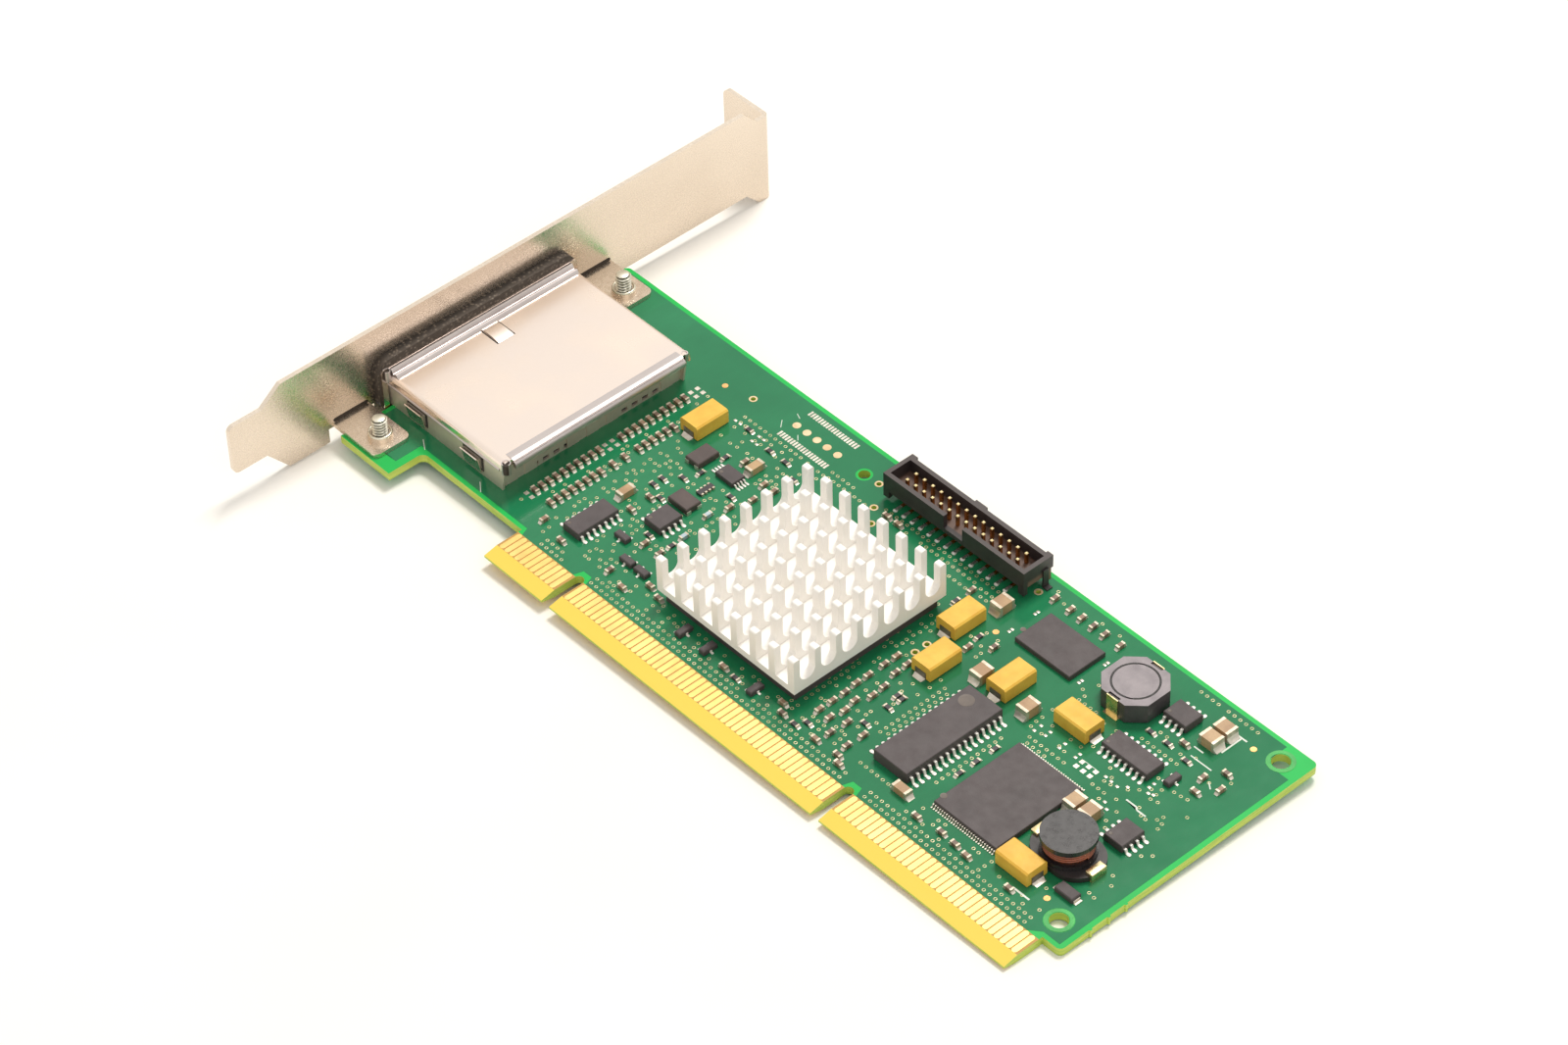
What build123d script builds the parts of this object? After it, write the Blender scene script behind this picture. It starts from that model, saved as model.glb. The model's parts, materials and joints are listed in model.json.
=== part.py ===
from build123d import *
import os

# A storage adapter card: a printed board with an edge connector, a slot bracket on its left
# end, a shielded pair of cable ports behind the bracket, a finned heatsink and a box header.
# Places on the card are given from the middle of the first edge contact (x), the tip of the
# edge connector (y) and the board's component side (z).

# Board
board_thickness = 1.57
board_height = 64.41
board_reach = 167.64
board_gap = 2.6
first_contact_reach = 42.2
shoulder_y = 8.05
corner_radius = 1.0
step_radius = 1.3
ear_width = 12.9
ear_bottom_y = 0.6
edge_nub_radius = 0.3
bevel_depth = 2.7
tip_thickness = 0.4
wide_hole_radius = 1.6
wide_hole_setback = 4.5
wide_hole_low_y = 12.2
wide_hole_top_gap = 3.8
wide_ring_radius = 2.4
ring_setback = 0.1
tooling_hole_radius = 1.05
tooling_hole_x = 28.0
tooling_hole_gap = 6.3
via_hole_radius = 0.45
via_ring_radius = 0.75
copper = 0.05

# Edge connector
contact_pitch = 1.27
contact_slots = 96
key_slots = (11, 12, 62, 63)
contact_width = 1.0
contact_length = 4.5
contact_start_y = 2.7
key_width = 1.91
key_top_y = 8.1
tongue_margin = 0.95

# Bracket
bracket_sheet = 0.86
bracket_width = 18.42
bracket_below = 2.86
bracket_foot_y = -19.61
bracket_height = 120.02
foot_width = 10.2
foot_below = -2.1
foot_neck_y = -12.7
foot_shoulder_y = -8.5
foot_corner_radius = 1.2
shift = 3.0
shift_end_length = 2.91
tab_depth = 11.43
tab_slot_width = 4.42
tab_slot_depth = 6.2
tab_slot_reach = 6.35
tab_corner_radius = 1.5
bend_radius = 1.2

# Screw tabs, bent from the bracket onto the board
screw_tab_length = 11.5
screw_tab_width = 7.7
screw_tab_radius = 1.3
screw_tab_middles = (4.95, 58.9)
screw_reach = 8.0
relief = 1.0
boss_radius = 2.15
boss_height = 1.0
screw_radius = 1.45
screw_tip_z = 4.9
screw_head_radius = 2.8
screw_head_height = 1.9
screw_clearance = 0.05
board_hole_clearance = 0.3

# Port cage
cage_near_y = 11.45
cage_width = 40.95
cage_height = 7.0
cage_rear_gap = 33.1
cage_nose = 1.4
cage_sheet = 0.4
cage_corner_radius = 0.9
cover_skirt = 2.0
rear_flange_reach = 0.9
rear_flange_drop = 1.5
rear_lean = 0.9
rear_wall_inset = 0.6
lip_reach = 1.1
lip_gap = 1.9
window_clearance = 0.3
slit_length = 5.2
slit_width = 0.3
slit_spacing = 3.65
slit_start = 4.0
latch_width = 4.3
latch_height = 3.2
latch_lift = 0.6
latch_base_z = 0.8
latch_reaches = (9.7, 24.5)
cage_notch_width = 1.3
cage_notch_height = 1.2
cage_notch_pitch = 2.3
cage_notch_count = 4
cage_notch_middles = (22.9, 42.5)
gasket_reach = 1.75
gasket_top_z = 9.8
gasket_below = 1.5
port_wall_gap = 0.35
port_block_depth = 7.5
tongue_length = 18.5
tongue_width = 15.6
tongue_thickness = 1.4
port_contact_count = 13
port_contact_pitch = 0.8
port_contact_width = 0.38
port_contact_length = 6.0
port_contact_inset = 1.0

# Controller and its heatsink
controller_x = 43.6
controller_y = 29.9
controller_side = 31.0
controller_base = 1.4
controller_cap_side = 26.0
controller_cap = 1.0
pad_thickness = 0.2
heatsink_side = 33.0
heatsink_height = 7.1
fin_count = 8
fin_thickness = 1.3
fin_length = 1.5
channel_floor = 1.9
cross_cut_floor = 1.3
fin_tip_radius = 0.35

# Box header
header_x = 51.0
header_gap = 4.81
header_pitch = 2.0
header_columns = 14
header_length = 33.2
header_width = 6.2
header_top_z = 5.8
header_bottom_z = 2.3
header_foot_z = 0.8
header_foot = 1.3
header_wall = 0.85
header_floor = 0.9
header_key_width = 4.4
header_rib = 0.45
header_rib_width = 2.6
pin_width = 0.5
pin_tip_z = 5.5
pin_foot_reach = 2.8
pin_foot_thickness = 0.35
hold_down_sheet = 0.3
hold_down_width = 1.2
hold_down_offset = 1.7
hold_down_height = 3.9
hold_down_foot = 1.2

header_y = board_height - header_gap
board_left_x = board_gap - first_contact_reach
far_x = board_reach - first_contact_reach
wall_x = -first_contact_reach
bracket_top_y = bracket_foot_y + bracket_height
shift_start_y = bracket_top_y - shift_end_length - shift
tab_end_x = wall_x - tab_depth
lowest_z = -bracket_below - shift

# The card's own frame, set so that the origin is the middle of its footprint
card = Plane(
    origin=(
        -(far_x + edge_nub_radius + tab_end_x) / 2,
        -(bracket_foot_y + bracket_top_y) / 2,
        -lowest_z,
    )
)


def level(z):
    return card.offset(z)


def section(x):
    """A plane across the card at x, with y and z as its own directions."""
    return Plane(origin=card.origin + Vector(x, 0, 0), x_dir=(0, 1, 0), z_dir=(1, 0, 0))


def side(y):
    """A plane along the card at y, facing -Y, with x and z as its own directions."""
    return Plane(origin=card.origin + Vector(0, y, 0), x_dir=(1, 0, 0), z_dir=(0, -1, 0))


def spots(places, angle=0):
    """Places on the board's component side, each turned by the same angle."""
    return [Location(card.origin + Vector(x, y, 0), (0, 0, angle)) for x, y in places]


os.makedirs("parts", exist_ok=True)

# Circuit board
tongue_start_x = -tongue_margin
tongue_end_x = (contact_slots - 1) * contact_pitch + tongue_margin
key_middles = [(key_slots[i] + key_slots[i + 1]) / 2 * contact_pitch for i in (0, 2)]
ear_end_x = board_left_x + ear_width
screw_x = wall_x + screw_reach
screw_places = [(screw_x, y) for y in screw_tab_middles]
wide_hole_x = far_x - wide_hole_setback
wide_holes = [(wide_hole_x, wide_hole_low_y), (wide_hole_x, board_height - wide_hole_top_gap)]
tooling_hole = (tooling_hole_x, board_height - tooling_hole_gap)
via_holes = [(35.0, 53.8), (37.5, 50.8), (64.3, 38.2), (64.3, 35.6)]
via_holes += [(x, board_height - gap) for x, gap in ((1.3, 7.21), (31.4, 6.11), (67.9, 4.81))]
edge_nubs = [(far_x, y) for y in (14.4, 18.3, 22.0)]

with BuildPart() as circuit_board:
    with BuildSketch(level(-board_thickness)) as outline:
        with BuildLine():
            Polyline(
                (board_left_x, ear_bottom_y),
                (ear_end_x, ear_bottom_y),
                (ear_end_x, shoulder_y),
                (tongue_start_x, shoulder_y),
                (tongue_start_x, 0),
                (tongue_end_x, 0),
                (tongue_end_x, shoulder_y),
                (far_x, shoulder_y),
                (far_x, board_height),
                (board_left_x, board_height),
                close=True,
            )
        make_face()
        for corner in ((far_x, shoulder_y), (far_x, board_height), (board_left_x, board_height)):
            fillet(outline.vertices().sort_by_distance(corner)[0], corner_radius)
        fillet(outline.vertices().sort_by_distance((ear_end_x, shoulder_y))[0], step_radius)
        for key_x in key_middles:
            with Locations((key_x, key_top_y - key_width / 2)):
                Circle(key_width / 2, mode=Mode.SUBTRACT)
            with Locations((key_x, (key_top_y - key_width / 2) / 2)):
                Rectangle(key_width, key_top_y - key_width / 2, mode=Mode.SUBTRACT)
        with Locations(*wide_holes):
            Circle(wide_hole_radius, mode=Mode.SUBTRACT)
        with Locations(tooling_hole):
            Circle(tooling_hole_radius, mode=Mode.SUBTRACT)
        with Locations(*via_holes):
            Circle(via_hole_radius, mode=Mode.SUBTRACT)
        with Locations(*screw_places):
            Circle(screw_radius + board_hole_clearance, mode=Mode.SUBTRACT)
        with Locations(*edge_nubs):
            Circle(edge_nub_radius)
    extrude(amount=board_thickness)
    bevel_drop = (board_thickness - tip_thickness) / 2
    with BuildSketch(section(tongue_start_x)):
        with BuildLine():
            Polyline((bevel_depth, 0), (0, 0), (0, -bevel_drop), close=True)
        make_face()
        with BuildLine():
            Polyline(
                (bevel_depth, -board_thickness),
                (0, -board_thickness),
                (0, bevel_drop - board_thickness),
                close=True,
            )
        make_face()
    extrude(amount=tongue_end_x - tongue_start_x, mode=Mode.SUBTRACT)
circuit_board.part.label = "circuit_board"
export_step(circuit_board.part, "parts/circuit_board.step")

contact_places = [
    (slot * contact_pitch, contact_start_y + contact_length / 2)
    for slot in range(contact_slots)
    if slot not in key_slots
]

with BuildPart() as edge_contacts_top:
    with BuildSketch(level(0)):
        with Locations(*contact_places):
            SlotOverall(contact_length, contact_width, rotation=90)
    extrude(amount=copper)
edge_contacts_top.part.label = "edge_contacts_top"
export_step(edge_contacts_top.part, "parts/edge_contacts_top.step")

with BuildPart() as edge_contacts_bottom:
    with BuildSketch(level(-board_thickness - copper)):
        with Locations(*contact_places):
            SlotOverall(contact_length, contact_width, rotation=90)
    extrude(amount=copper)
edge_contacts_bottom.part.label = "edge_contacts_bottom"
export_step(edge_contacts_bottom.part, "parts/edge_contacts_bottom.step")

# Bare copper pads of an unused footprint, and of parts that were left off
footprint_pitch = 0.635
footprint_count = 19
footprint_middle_x = 16.45
footprint_rows = [board_height - gap for gap in (9.61, 2.61)]
pad_length = 1.2
pad_width = 0.4
chip_pad = 0.8
bare_chip_rows = (52.1, 50.6, 33.0, 31.4, 14.3)
bare_chip_columns = (-7.2, -5.8)
bare_pad_columns = (99.8, 101.3, 102.8)
bare_pad_rows = (36.7, 38.0)

with BuildPart() as footprint_pads:
    with BuildSketch(level(0)):
        for row_y in footprint_rows:
            with Locations((footprint_middle_x, row_y)):
                with GridLocations(footprint_pitch, 0, footprint_count, 1):
                    Rectangle(pad_width, pad_length)
        for row_y in bare_chip_rows:
            with Locations(*[(x, row_y) for x in bare_chip_columns]):
                Rectangle(chip_pad, chip_pad)
        for row_y in bare_pad_rows:
            with Locations(*[(x, row_y) for x in bare_pad_columns]):
                Rectangle(chip_pad, chip_pad)
    extrude(amount=copper)
footprint_pads.part.label = "footprint_pads"
export_step(footprint_pads.part, "parts/footprint_pads.step")

test_ring_gap = 6.31
test_rings = [(x, board_height - test_ring_gap) for x in (11.3, 13.85, 16.35, 18.85, 21.45)]

with BuildPart() as plated_rings:
    with BuildSketch(level(0)):
        with Locations(*via_holes):
            Circle(via_ring_radius)
        with Locations(*via_holes):
            Circle(via_hole_radius, mode=Mode.SUBTRACT)
        with Locations(*wide_holes):
            Circle(wide_ring_radius)
        with Locations(*wide_holes):
            Circle(wide_hole_radius + ring_setback, mode=Mode.SUBTRACT)
        with Locations(*test_rings):
            Circle(via_ring_radius)
    extrude(amount=copper)
plated_rings.part.label = "plated_rings"
export_step(plated_rings.part, "parts/plated_rings.step")

# Slot bracket, with the tabs that the board is screwed to
cage_front_x = wall_x - cage_nose
cage_rear_x = cage_front_x + cage_nose + cage_rear_gap
cage_far_y = cage_near_y + cage_width
cage_middle_y = (cage_near_y + cage_far_y) / 2
bracket_top_z = bracket_width - bracket_below
foot_top_z = foot_width - foot_below

with BuildPart() as mounting_bracket:
    with BuildSketch(section(wall_x - bracket_sheet)) as plate:
        with BuildLine():
            Polyline(
                (bracket_foot_y, -foot_below),
                (foot_neck_y, -foot_below),
                (foot_shoulder_y, -bracket_below),
                (shift_start_y, -bracket_below),
                (shift_start_y + shift, lowest_z),
                (bracket_top_y, lowest_z),
                (bracket_top_y, bracket_top_z - shift),
                (shift_start_y + shift, bracket_top_z - shift),
                (shift_start_y, bracket_top_z),
                (foot_shoulder_y, bracket_top_z),
                (foot_neck_y, foot_top_z),
                (bracket_foot_y, foot_top_z),
                close=True,
            )
        make_face()
        for corner_z in (-foot_below, foot_top_z):
            foot_corner = plate.vertices().sort_by_distance((bracket_foot_y, corner_z))[0]
            fillet(foot_corner, foot_corner_radius)
        with Locations((cage_middle_y, cage_height / 2)):
            RectangleRounded(
                cage_width + 2 * window_clearance,
                cage_height + 2 * window_clearance,
                cage_corner_radius,
                mode=Mode.SUBTRACT,
            )
        for tab_y in screw_tab_middles:
            with Locations((tab_y, -bracket_below / 2)):
                Rectangle(screw_tab_width + 2 * relief, bracket_below, mode=Mode.SUBTRACT)
    extrude(amount=bracket_sheet)
    with BuildSketch(side(bracket_top_y)) as top_tab:
        with Locations(((tab_end_x + wall_x) / 2, lowest_z + bracket_width / 2)):
            Rectangle(tab_depth, bracket_width)
        for corner_z in (lowest_z, bracket_top_z - shift):
            fillet(top_tab.vertices().sort_by_distance((tab_end_x, corner_z))[0], tab_corner_radius)
        slot_middle_x = wall_x - tab_slot_reach
        with Locations((slot_middle_x, lowest_z + tab_slot_depth - tab_slot_width / 2)):
            Circle(tab_slot_width / 2, mode=Mode.SUBTRACT)
        with Locations((slot_middle_x, lowest_z + (tab_slot_depth - tab_slot_width / 2) / 2)):
            Rectangle(tab_slot_width, tab_slot_depth - tab_slot_width / 2, mode=Mode.SUBTRACT)
    extrude(amount=bracket_sheet)
    bend_outside = card.origin + Vector(wall_x, bracket_top_y, lowest_z + bracket_width / 2)
    fillet(mounting_bracket.edges().filter_by(Axis.Z).sort_by_distance(bend_outside)[0], bend_radius)
    bend_inside = bend_outside - Vector(bracket_sheet, bracket_sheet, 0)
    fillet(
        mounting_bracket.edges().filter_by(Axis.Z).sort_by_distance(bend_inside)[0],
        bend_radius - bracket_sheet,
    )
    with BuildSketch(level(0)) as screw_tabs:
        for tab_y in screw_tab_middles:
            tab_middle_x = wall_x + (screw_tab_length - bracket_sheet) / 2
            with Locations((tab_middle_x, tab_y)):
                Rectangle(screw_tab_length + bracket_sheet, screw_tab_width)
        fillet(screw_tabs.vertices().group_by(Axis.X)[-1], screw_tab_radius)
    extrude(amount=bracket_sheet)
    with BuildSketch(level(bracket_sheet)):
        with Locations(*screw_places):
            Circle(boss_radius)
    extrude(amount=boss_height)
    with BuildSketch(level(0)):
        with Locations(*screw_places):
            Circle(screw_radius + screw_clearance)
    extrude(amount=bracket_sheet + boss_height, mode=Mode.SUBTRACT)
mounting_bracket.part.label = "mounting_bracket"
export_step(mounting_bracket.part, "parts/mounting_bracket.step")

# Screws from below, whose tips stand out of the tabs
with BuildPart() as bracket_screws:
    with BuildSketch(level(-board_thickness - screw_head_height)):
        with Locations(*screw_places):
            Circle(screw_head_radius)
    extrude(amount=screw_head_height)
    with BuildSketch(level(-board_thickness)):
        with Locations(*screw_places):
            Circle(screw_radius)
    extrude(amount=board_thickness + screw_tip_z)
    chamfer(bracket_screws.edges().group_by(Axis.Z)[-1], screw_radius / 4)
    fillet(bracket_screws.edges().group_by(Axis.Z)[0], screw_head_height / 4)
bracket_screws.part.label = "bracket_screws"
export_step(bracket_screws.part, "parts/bracket_screws.step")

# Port cage: a folded cover over a folded base with a dividing wall
cover_bottom_z = cage_height - cover_skirt
lip_x = wall_x + lip_gap
inside_near_y = cage_near_y + cage_sheet
inside_far_y = cage_far_y - cage_sheet
inside_height = cage_height - cage_sheet

with BuildPart() as port_cage_cover:
    with BuildSketch(section(cage_front_x)):
        with Locations((cage_middle_y, 0)):
            RectangleRounded(cage_width, 2 * cage_height, cage_corner_radius)
            RectangleRounded(
                cage_width - 2 * cage_sheet,
                2 * inside_height,
                cage_corner_radius - cage_sheet,
                mode=Mode.SUBTRACT,
            )
        with Locations((cage_middle_y, cover_bottom_z - cage_height)):
            Rectangle(cage_width, 2 * cage_height, mode=Mode.SUBTRACT)
    extrude(amount=cage_rear_x - cage_front_x)
    flange_width = cage_width - 4 * cage_corner_radius
    with BuildSketch(side(cage_middle_y + flange_width / 2)):
        with BuildLine():
            Polyline(
                (cage_rear_x, cage_height),
                (cage_rear_x + rear_flange_reach, cage_height - rear_flange_drop),
                (cage_rear_x + rear_flange_reach - cage_sheet, cage_height - rear_flange_drop),
                (cage_rear_x - cage_sheet, cage_height),
                close=True,
            )
        make_face()
    extrude(amount=flange_width)
    with BuildSketch(section(lip_x)):
        with Locations((cage_middle_y, cage_height / 2)):
            RectangleRounded(
                cage_width + 2 * lip_reach, cage_height + 2 * lip_reach, cage_corner_radius
            )
        with Locations((cage_middle_y, 0)):
            RectangleRounded(
                cage_width, 2 * cage_height, cage_corner_radius, mode=Mode.SUBTRACT
            )
        with Locations((cage_middle_y, -cage_height)):
            Rectangle(cage_width + 4 * lip_reach, 2 * cage_height, mode=Mode.SUBTRACT)
    extrude(amount=cage_sheet)
    with BuildSketch(level(inside_height)):
        with Locations((wall_x + slit_start + slit_length / 2, cage_middle_y)):
            with GridLocations(0, slit_spacing, 1, 2):
                Rectangle(slit_length, slit_width)
    extrude(amount=cage_sheet, mode=Mode.SUBTRACT)
port_cage_cover.part.label = "port_cage_cover"
export_step(port_cage_cover.part, "parts/port_cage_cover.step")

rear_foot_x = cage_rear_x - cage_sheet - rear_lean
rear_wall_x = rear_foot_x - rear_wall_inset
bay_width = (inside_far_y - inside_near_y - 3 * cage_sheet) / 2
bay_middles = [cage_middle_y + end * (bay_width + cage_sheet) / 2 for end in (-1, 1)]

with BuildPart() as port_cage_base:
    with BuildSketch(level(0)):
        with Locations(((cage_front_x + rear_wall_x) / 2, cage_middle_y)):
            Rectangle(rear_wall_x - cage_front_x, inside_far_y - inside_near_y)
    extrude(amount=cage_sheet)
    for wall_y in (inside_near_y + cage_sheet, inside_far_y):
        with BuildSketch(side(wall_y)):
            with BuildLine():
                Polyline(
                    (cage_front_x, 0),
                    (rear_foot_x, 0),
                    (rear_foot_x + rear_lean, cover_bottom_z),
                    (rear_foot_x + rear_lean, inside_height - cage_corner_radius),
                    (cage_front_x, inside_height - cage_corner_radius),
                    close=True,
                )
            make_face()
        extrude(amount=cage_sheet)
    with BuildSketch(side(cage_middle_y + cage_sheet / 2)):
        with Locations(((cage_front_x + rear_wall_x) / 2, inside_height / 2)):
            Rectangle(rear_wall_x - cage_front_x, inside_height)
    extrude(amount=cage_sheet)
    with BuildSketch(section(rear_wall_x - cage_sheet)):
        with Locations((cage_middle_y, (inside_height - cage_corner_radius) / 2)):
            Rectangle(inside_far_y - inside_near_y, inside_height - cage_corner_radius)
        for group_y in cage_notch_middles:
            with Locations((group_y, cage_notch_height / 2)):
                with GridLocations(cage_notch_pitch, 0, cage_notch_count, 1):
                    Rectangle(cage_notch_width, cage_notch_height, mode=Mode.SUBTRACT)
    extrude(amount=cage_sheet)
    for reach in latch_reaches:
        latch_x = wall_x + reach
        with BuildSketch(side(inside_near_y + cage_sheet)):
            with Locations((latch_x, latch_base_z + latch_height / 2)):
                Rectangle(latch_width + 2 * slit_width, latch_height)
        extrude(amount=cage_sheet, mode=Mode.SUBTRACT)
        with BuildSketch(section(latch_x - latch_width / 2)):
            with BuildLine():
                Polyline(
                    (inside_near_y, latch_base_z),
                    (inside_near_y + cage_sheet, latch_base_z),
                    (inside_near_y + cage_sheet - latch_lift, latch_base_z + latch_height),
                    (inside_near_y - latch_lift, latch_base_z + latch_height),
                    close=True,
                )
            make_face()
        extrude(amount=latch_width)
port_cage_base.part.label = "port_cage_base"
export_step(port_cage_base.part, "parts/port_cage_base.step")

# Foam gasket squeezed between the bracket and the cage's lip
with BuildPart() as port_gasket:
    with BuildSketch(section(wall_x)):
        with Locations((cage_middle_y, (gasket_top_z - gasket_below) / 2)):
            RectangleRounded(
                cage_width + 2 * gasket_reach,
                gasket_top_z + gasket_below,
                gasket_reach,
            )
        with Locations((cage_middle_y, cage_height / 2)):
            Rectangle(
                cage_width + 2 * slit_width, cage_height + 2 * slit_width, mode=Mode.SUBTRACT
            )
    extrude(amount=lip_gap)
port_gasket.part.label = "port_gasket"
export_step(port_gasket.part, "parts/port_gasket.step")

# Plastic inserts in the two bays, each with a contact tongue that faces the bracket
block_front_x = rear_wall_x - cage_sheet - port_block_depth
tongue_front_x = block_front_x - tongue_length
tongue_middle_z = (cage_sheet + inside_height) / 2

with BuildPart() as port_inserts:
    for bay_y in bay_middles:
        with BuildSketch(section(block_front_x)):
            with Locations((bay_y, tongue_middle_z)):
                Rectangle(bay_width - 2 * port_wall_gap, inside_height - cage_sheet)
        extrude(amount=port_block_depth)
        with BuildSketch(section(tongue_front_x)):
            with Locations((bay_y, tongue_middle_z)):
                Rectangle(tongue_width, tongue_thickness)
        extrude(amount=tongue_length)
port_inserts.part.label = "port_inserts"
export_step(port_inserts.part, "parts/port_inserts.step")

with BuildPart() as port_contacts:
    for face_z in (
        tongue_middle_z + tongue_thickness / 2,
        tongue_middle_z - tongue_thickness / 2 - copper,
    ):
        contact_middle_x = tongue_front_x + port_contact_inset + port_contact_length / 2
        with BuildSketch(level(face_z)):
            for bay_y in bay_middles:
                with Locations((contact_middle_x, bay_y)):
                    with GridLocations(0, port_contact_pitch, 1, port_contact_count):
                        Rectangle(port_contact_length, port_contact_width)
        extrude(amount=copper)
port_contacts.part.label = "port_contacts"
export_step(port_contacts.part, "parts/port_contacts.step")

# Controller, pad and heatsink, stacked
controller = (controller_x, controller_y)
controller_top_z = controller_base + controller_cap
heatsink_bottom_z = controller_top_z + pad_thickness
heatsink_top_z = heatsink_bottom_z + heatsink_height

with BuildPart() as controller_chip:
    with BuildSketch(level(0)):
        with Locations(controller):
            Rectangle(controller_side, controller_side)
    extrude(amount=controller_base)
    with BuildSketch(level(controller_base)):
        with Locations(controller):
            Rectangle(controller_cap_side, controller_cap_side)
    extrude(amount=controller_cap)
controller_chip.part.label = "controller_chip"
export_step(controller_chip.part, "parts/controller_chip.step")

with BuildPart() as thermal_pad:
    with BuildSketch(level(controller_top_z)):
        with Locations(controller):
            Rectangle(controller_cap_side, controller_cap_side)
    extrude(amount=pad_thickness)
thermal_pad.part.label = "thermal_pad"
export_step(thermal_pad.part, "parts/thermal_pad.step")

fin_pitch = (heatsink_side - fin_thickness) / (fin_count - 1)
channel_width = fin_pitch - fin_thickness
cross_pitch = (heatsink_side - fin_length) / (fin_count - 1)
cross_width = cross_pitch - fin_length
channel_low_z = heatsink_bottom_z + channel_floor + channel_width / 2

with BuildPart() as heatsink:
    with BuildSketch(section(controller_x - heatsink_side / 2)) as fins:
        with Locations((controller_y, heatsink_bottom_z + heatsink_height / 2)):
            Rectangle(heatsink_side, heatsink_height)
        with Locations((controller_y, channel_low_z)):
            with GridLocations(fin_pitch, 0, fin_count - 1, 1):
                Circle(channel_width / 2, mode=Mode.SUBTRACT)
        with Locations((controller_y, (channel_low_z + heatsink_top_z) / 2)):
            with GridLocations(fin_pitch, 0, fin_count - 1, 1):
                Rectangle(channel_width, heatsink_top_z - channel_low_z, mode=Mode.SUBTRACT)
        fillet(fins.vertices().group_by(Axis.Y)[-1], fin_tip_radius)
    extrude(amount=heatsink_side)
    with BuildSketch(level(heatsink_bottom_z + cross_cut_floor)):
        with Locations(controller):
            with GridLocations(cross_pitch, 0, fin_count - 1, 1):
                Rectangle(cross_width, heatsink_side)
    extrude(amount=heatsink_height, mode=Mode.SUBTRACT)
heatsink.part.label = "heatsink"
export_step(heatsink.part, "parts/heatsink.step")

# Box header: a keyed shroud round two rows of pins that bend outwards onto the board
header = (header_x, header_y)
header_height = header_top_z - header_bottom_z
cavity_length = header_length - 2 * header_wall
cavity_width = header_width - 2 * header_wall
cavity_floor_z = header_bottom_z + header_floor

with BuildPart() as header_shell:
    with BuildSketch(level(header_bottom_z)):
        with Locations(header):
            Rectangle(header_length, header_width)
    extrude(amount=header_height)
    with BuildSketch(level(header_foot_z)):
        with Locations(header):
            with GridLocations(header_length - header_foot, header_width - header_wall, 2, 2):
                Rectangle(header_foot, header_wall)
    extrude(amount=header_top_z - header_foot_z)
    with BuildSketch(level(cavity_floor_z)):
        with Locations(header):
            Rectangle(cavity_length, cavity_width)
    extrude(amount=header_height, mode=Mode.SUBTRACT)
    with BuildSketch(level(cavity_floor_z)):
        with Locations((header_x, header_y - header_width / 2)):
            Rectangle(header_key_width, 2 * header_wall)
    extrude(amount=header_height, mode=Mode.SUBTRACT)
    with BuildSketch(level(cavity_floor_z)):
        with Locations((header_x, header_y + (header_width + header_rib) / 2)):
            Rectangle(header_rib_width, header_rib)
            with GridLocations(header_length - header_foot, 0, 2, 1):
                Rectangle(header_foot, header_rib)
    extrude(amount=header_top_z - cavity_floor_z)
    with BuildSketch(level(header_bottom_z)):
        with Locations(header):
            with GridLocations(header_pitch, header_pitch, header_columns, 2):
                Rectangle(pin_width, pin_width)
    extrude(amount=header_floor, mode=Mode.SUBTRACT)
header_shell.part.label = "header_shell"
export_step(header_shell.part, "parts/header_shell.step")

with BuildPart() as header_pins:
    for row in (-1, 1):
        row_y = header_y + row * header_pitch / 2
        with BuildSketch(level(0)):
            with Locations((header_x, row_y)):
                with GridLocations(header_pitch, 0, header_columns, 1):
                    Rectangle(pin_width, pin_width)
        extrude(amount=pin_tip_z)
        with BuildSketch(level(0)):
            with Locations((header_x, row_y + row * pin_foot_reach / 2)):
                with GridLocations(header_pitch, 0, header_columns, 1):
                    Rectangle(pin_width, pin_foot_reach)
        extrude(amount=pin_foot_thickness)
    chamfer(header_pins.edges().group_by(Axis.Z)[-1], pin_width / 4)
header_pins.part.label = "header_pins"
export_step(header_pins.part, "parts/header_pins.step")

with BuildPart() as header_hold_downs:
    for end in (-1, 1):
        face_x = header_x + end * header_length / 2
        with BuildSketch(level(0)):
            with Locations((face_x + end * hold_down_sheet / 2, header_y + hold_down_offset)):
                Rectangle(hold_down_sheet, hold_down_width)
        extrude(amount=hold_down_height)
        with BuildSketch(level(0)):
            with Locations((face_x + end * hold_down_foot / 2, header_y + hold_down_offset)):
                Rectangle(hold_down_foot, hold_down_width)
        extrude(amount=hold_down_sheet)
header_hold_downs.part.label = "header_hold_downs"
export_step(header_hold_downs.part, "parts/header_hold_downs.step")

# Tantalum capacitors, moulded blocks on folded end strips
tantalum_length = 7.3
tantalum_width = 4.3
tantalum_height = 2.9
tantalum_strip = 0.15
tantalum_strip_width = 2.4
tantalum_strip_height = 1.5
tantalum_foot = 1.3
tantalum_top_edge = 0.3
tantalum_places = spots([(0.7, 46.8), (64.7, 45.4), (68.8, 36.1), (80.3, 41.5)], 90)
tantalum_places += spots([(94.0, 43.0), (109.4, 15.4)])

with BuildPart() as tantalum_block:
    with BuildSketch(Plane.XY.offset(tantalum_strip)):
        Rectangle(tantalum_length - 2 * tantalum_strip, tantalum_width)
    extrude(amount=tantalum_height - tantalum_strip)
    chamfer(tantalum_block.faces().sort_by(Axis.Z)[-1].edges().filter_by(Axis.X), tantalum_top_edge)

with BuildPart() as tantalum_bodies:
    with Locations(*tantalum_places):
        add(tantalum_block.part)
tantalum_bodies.part.label = "tantalum_bodies"
export_step(tantalum_bodies.part, "parts/tantalum_bodies.step")

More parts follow.
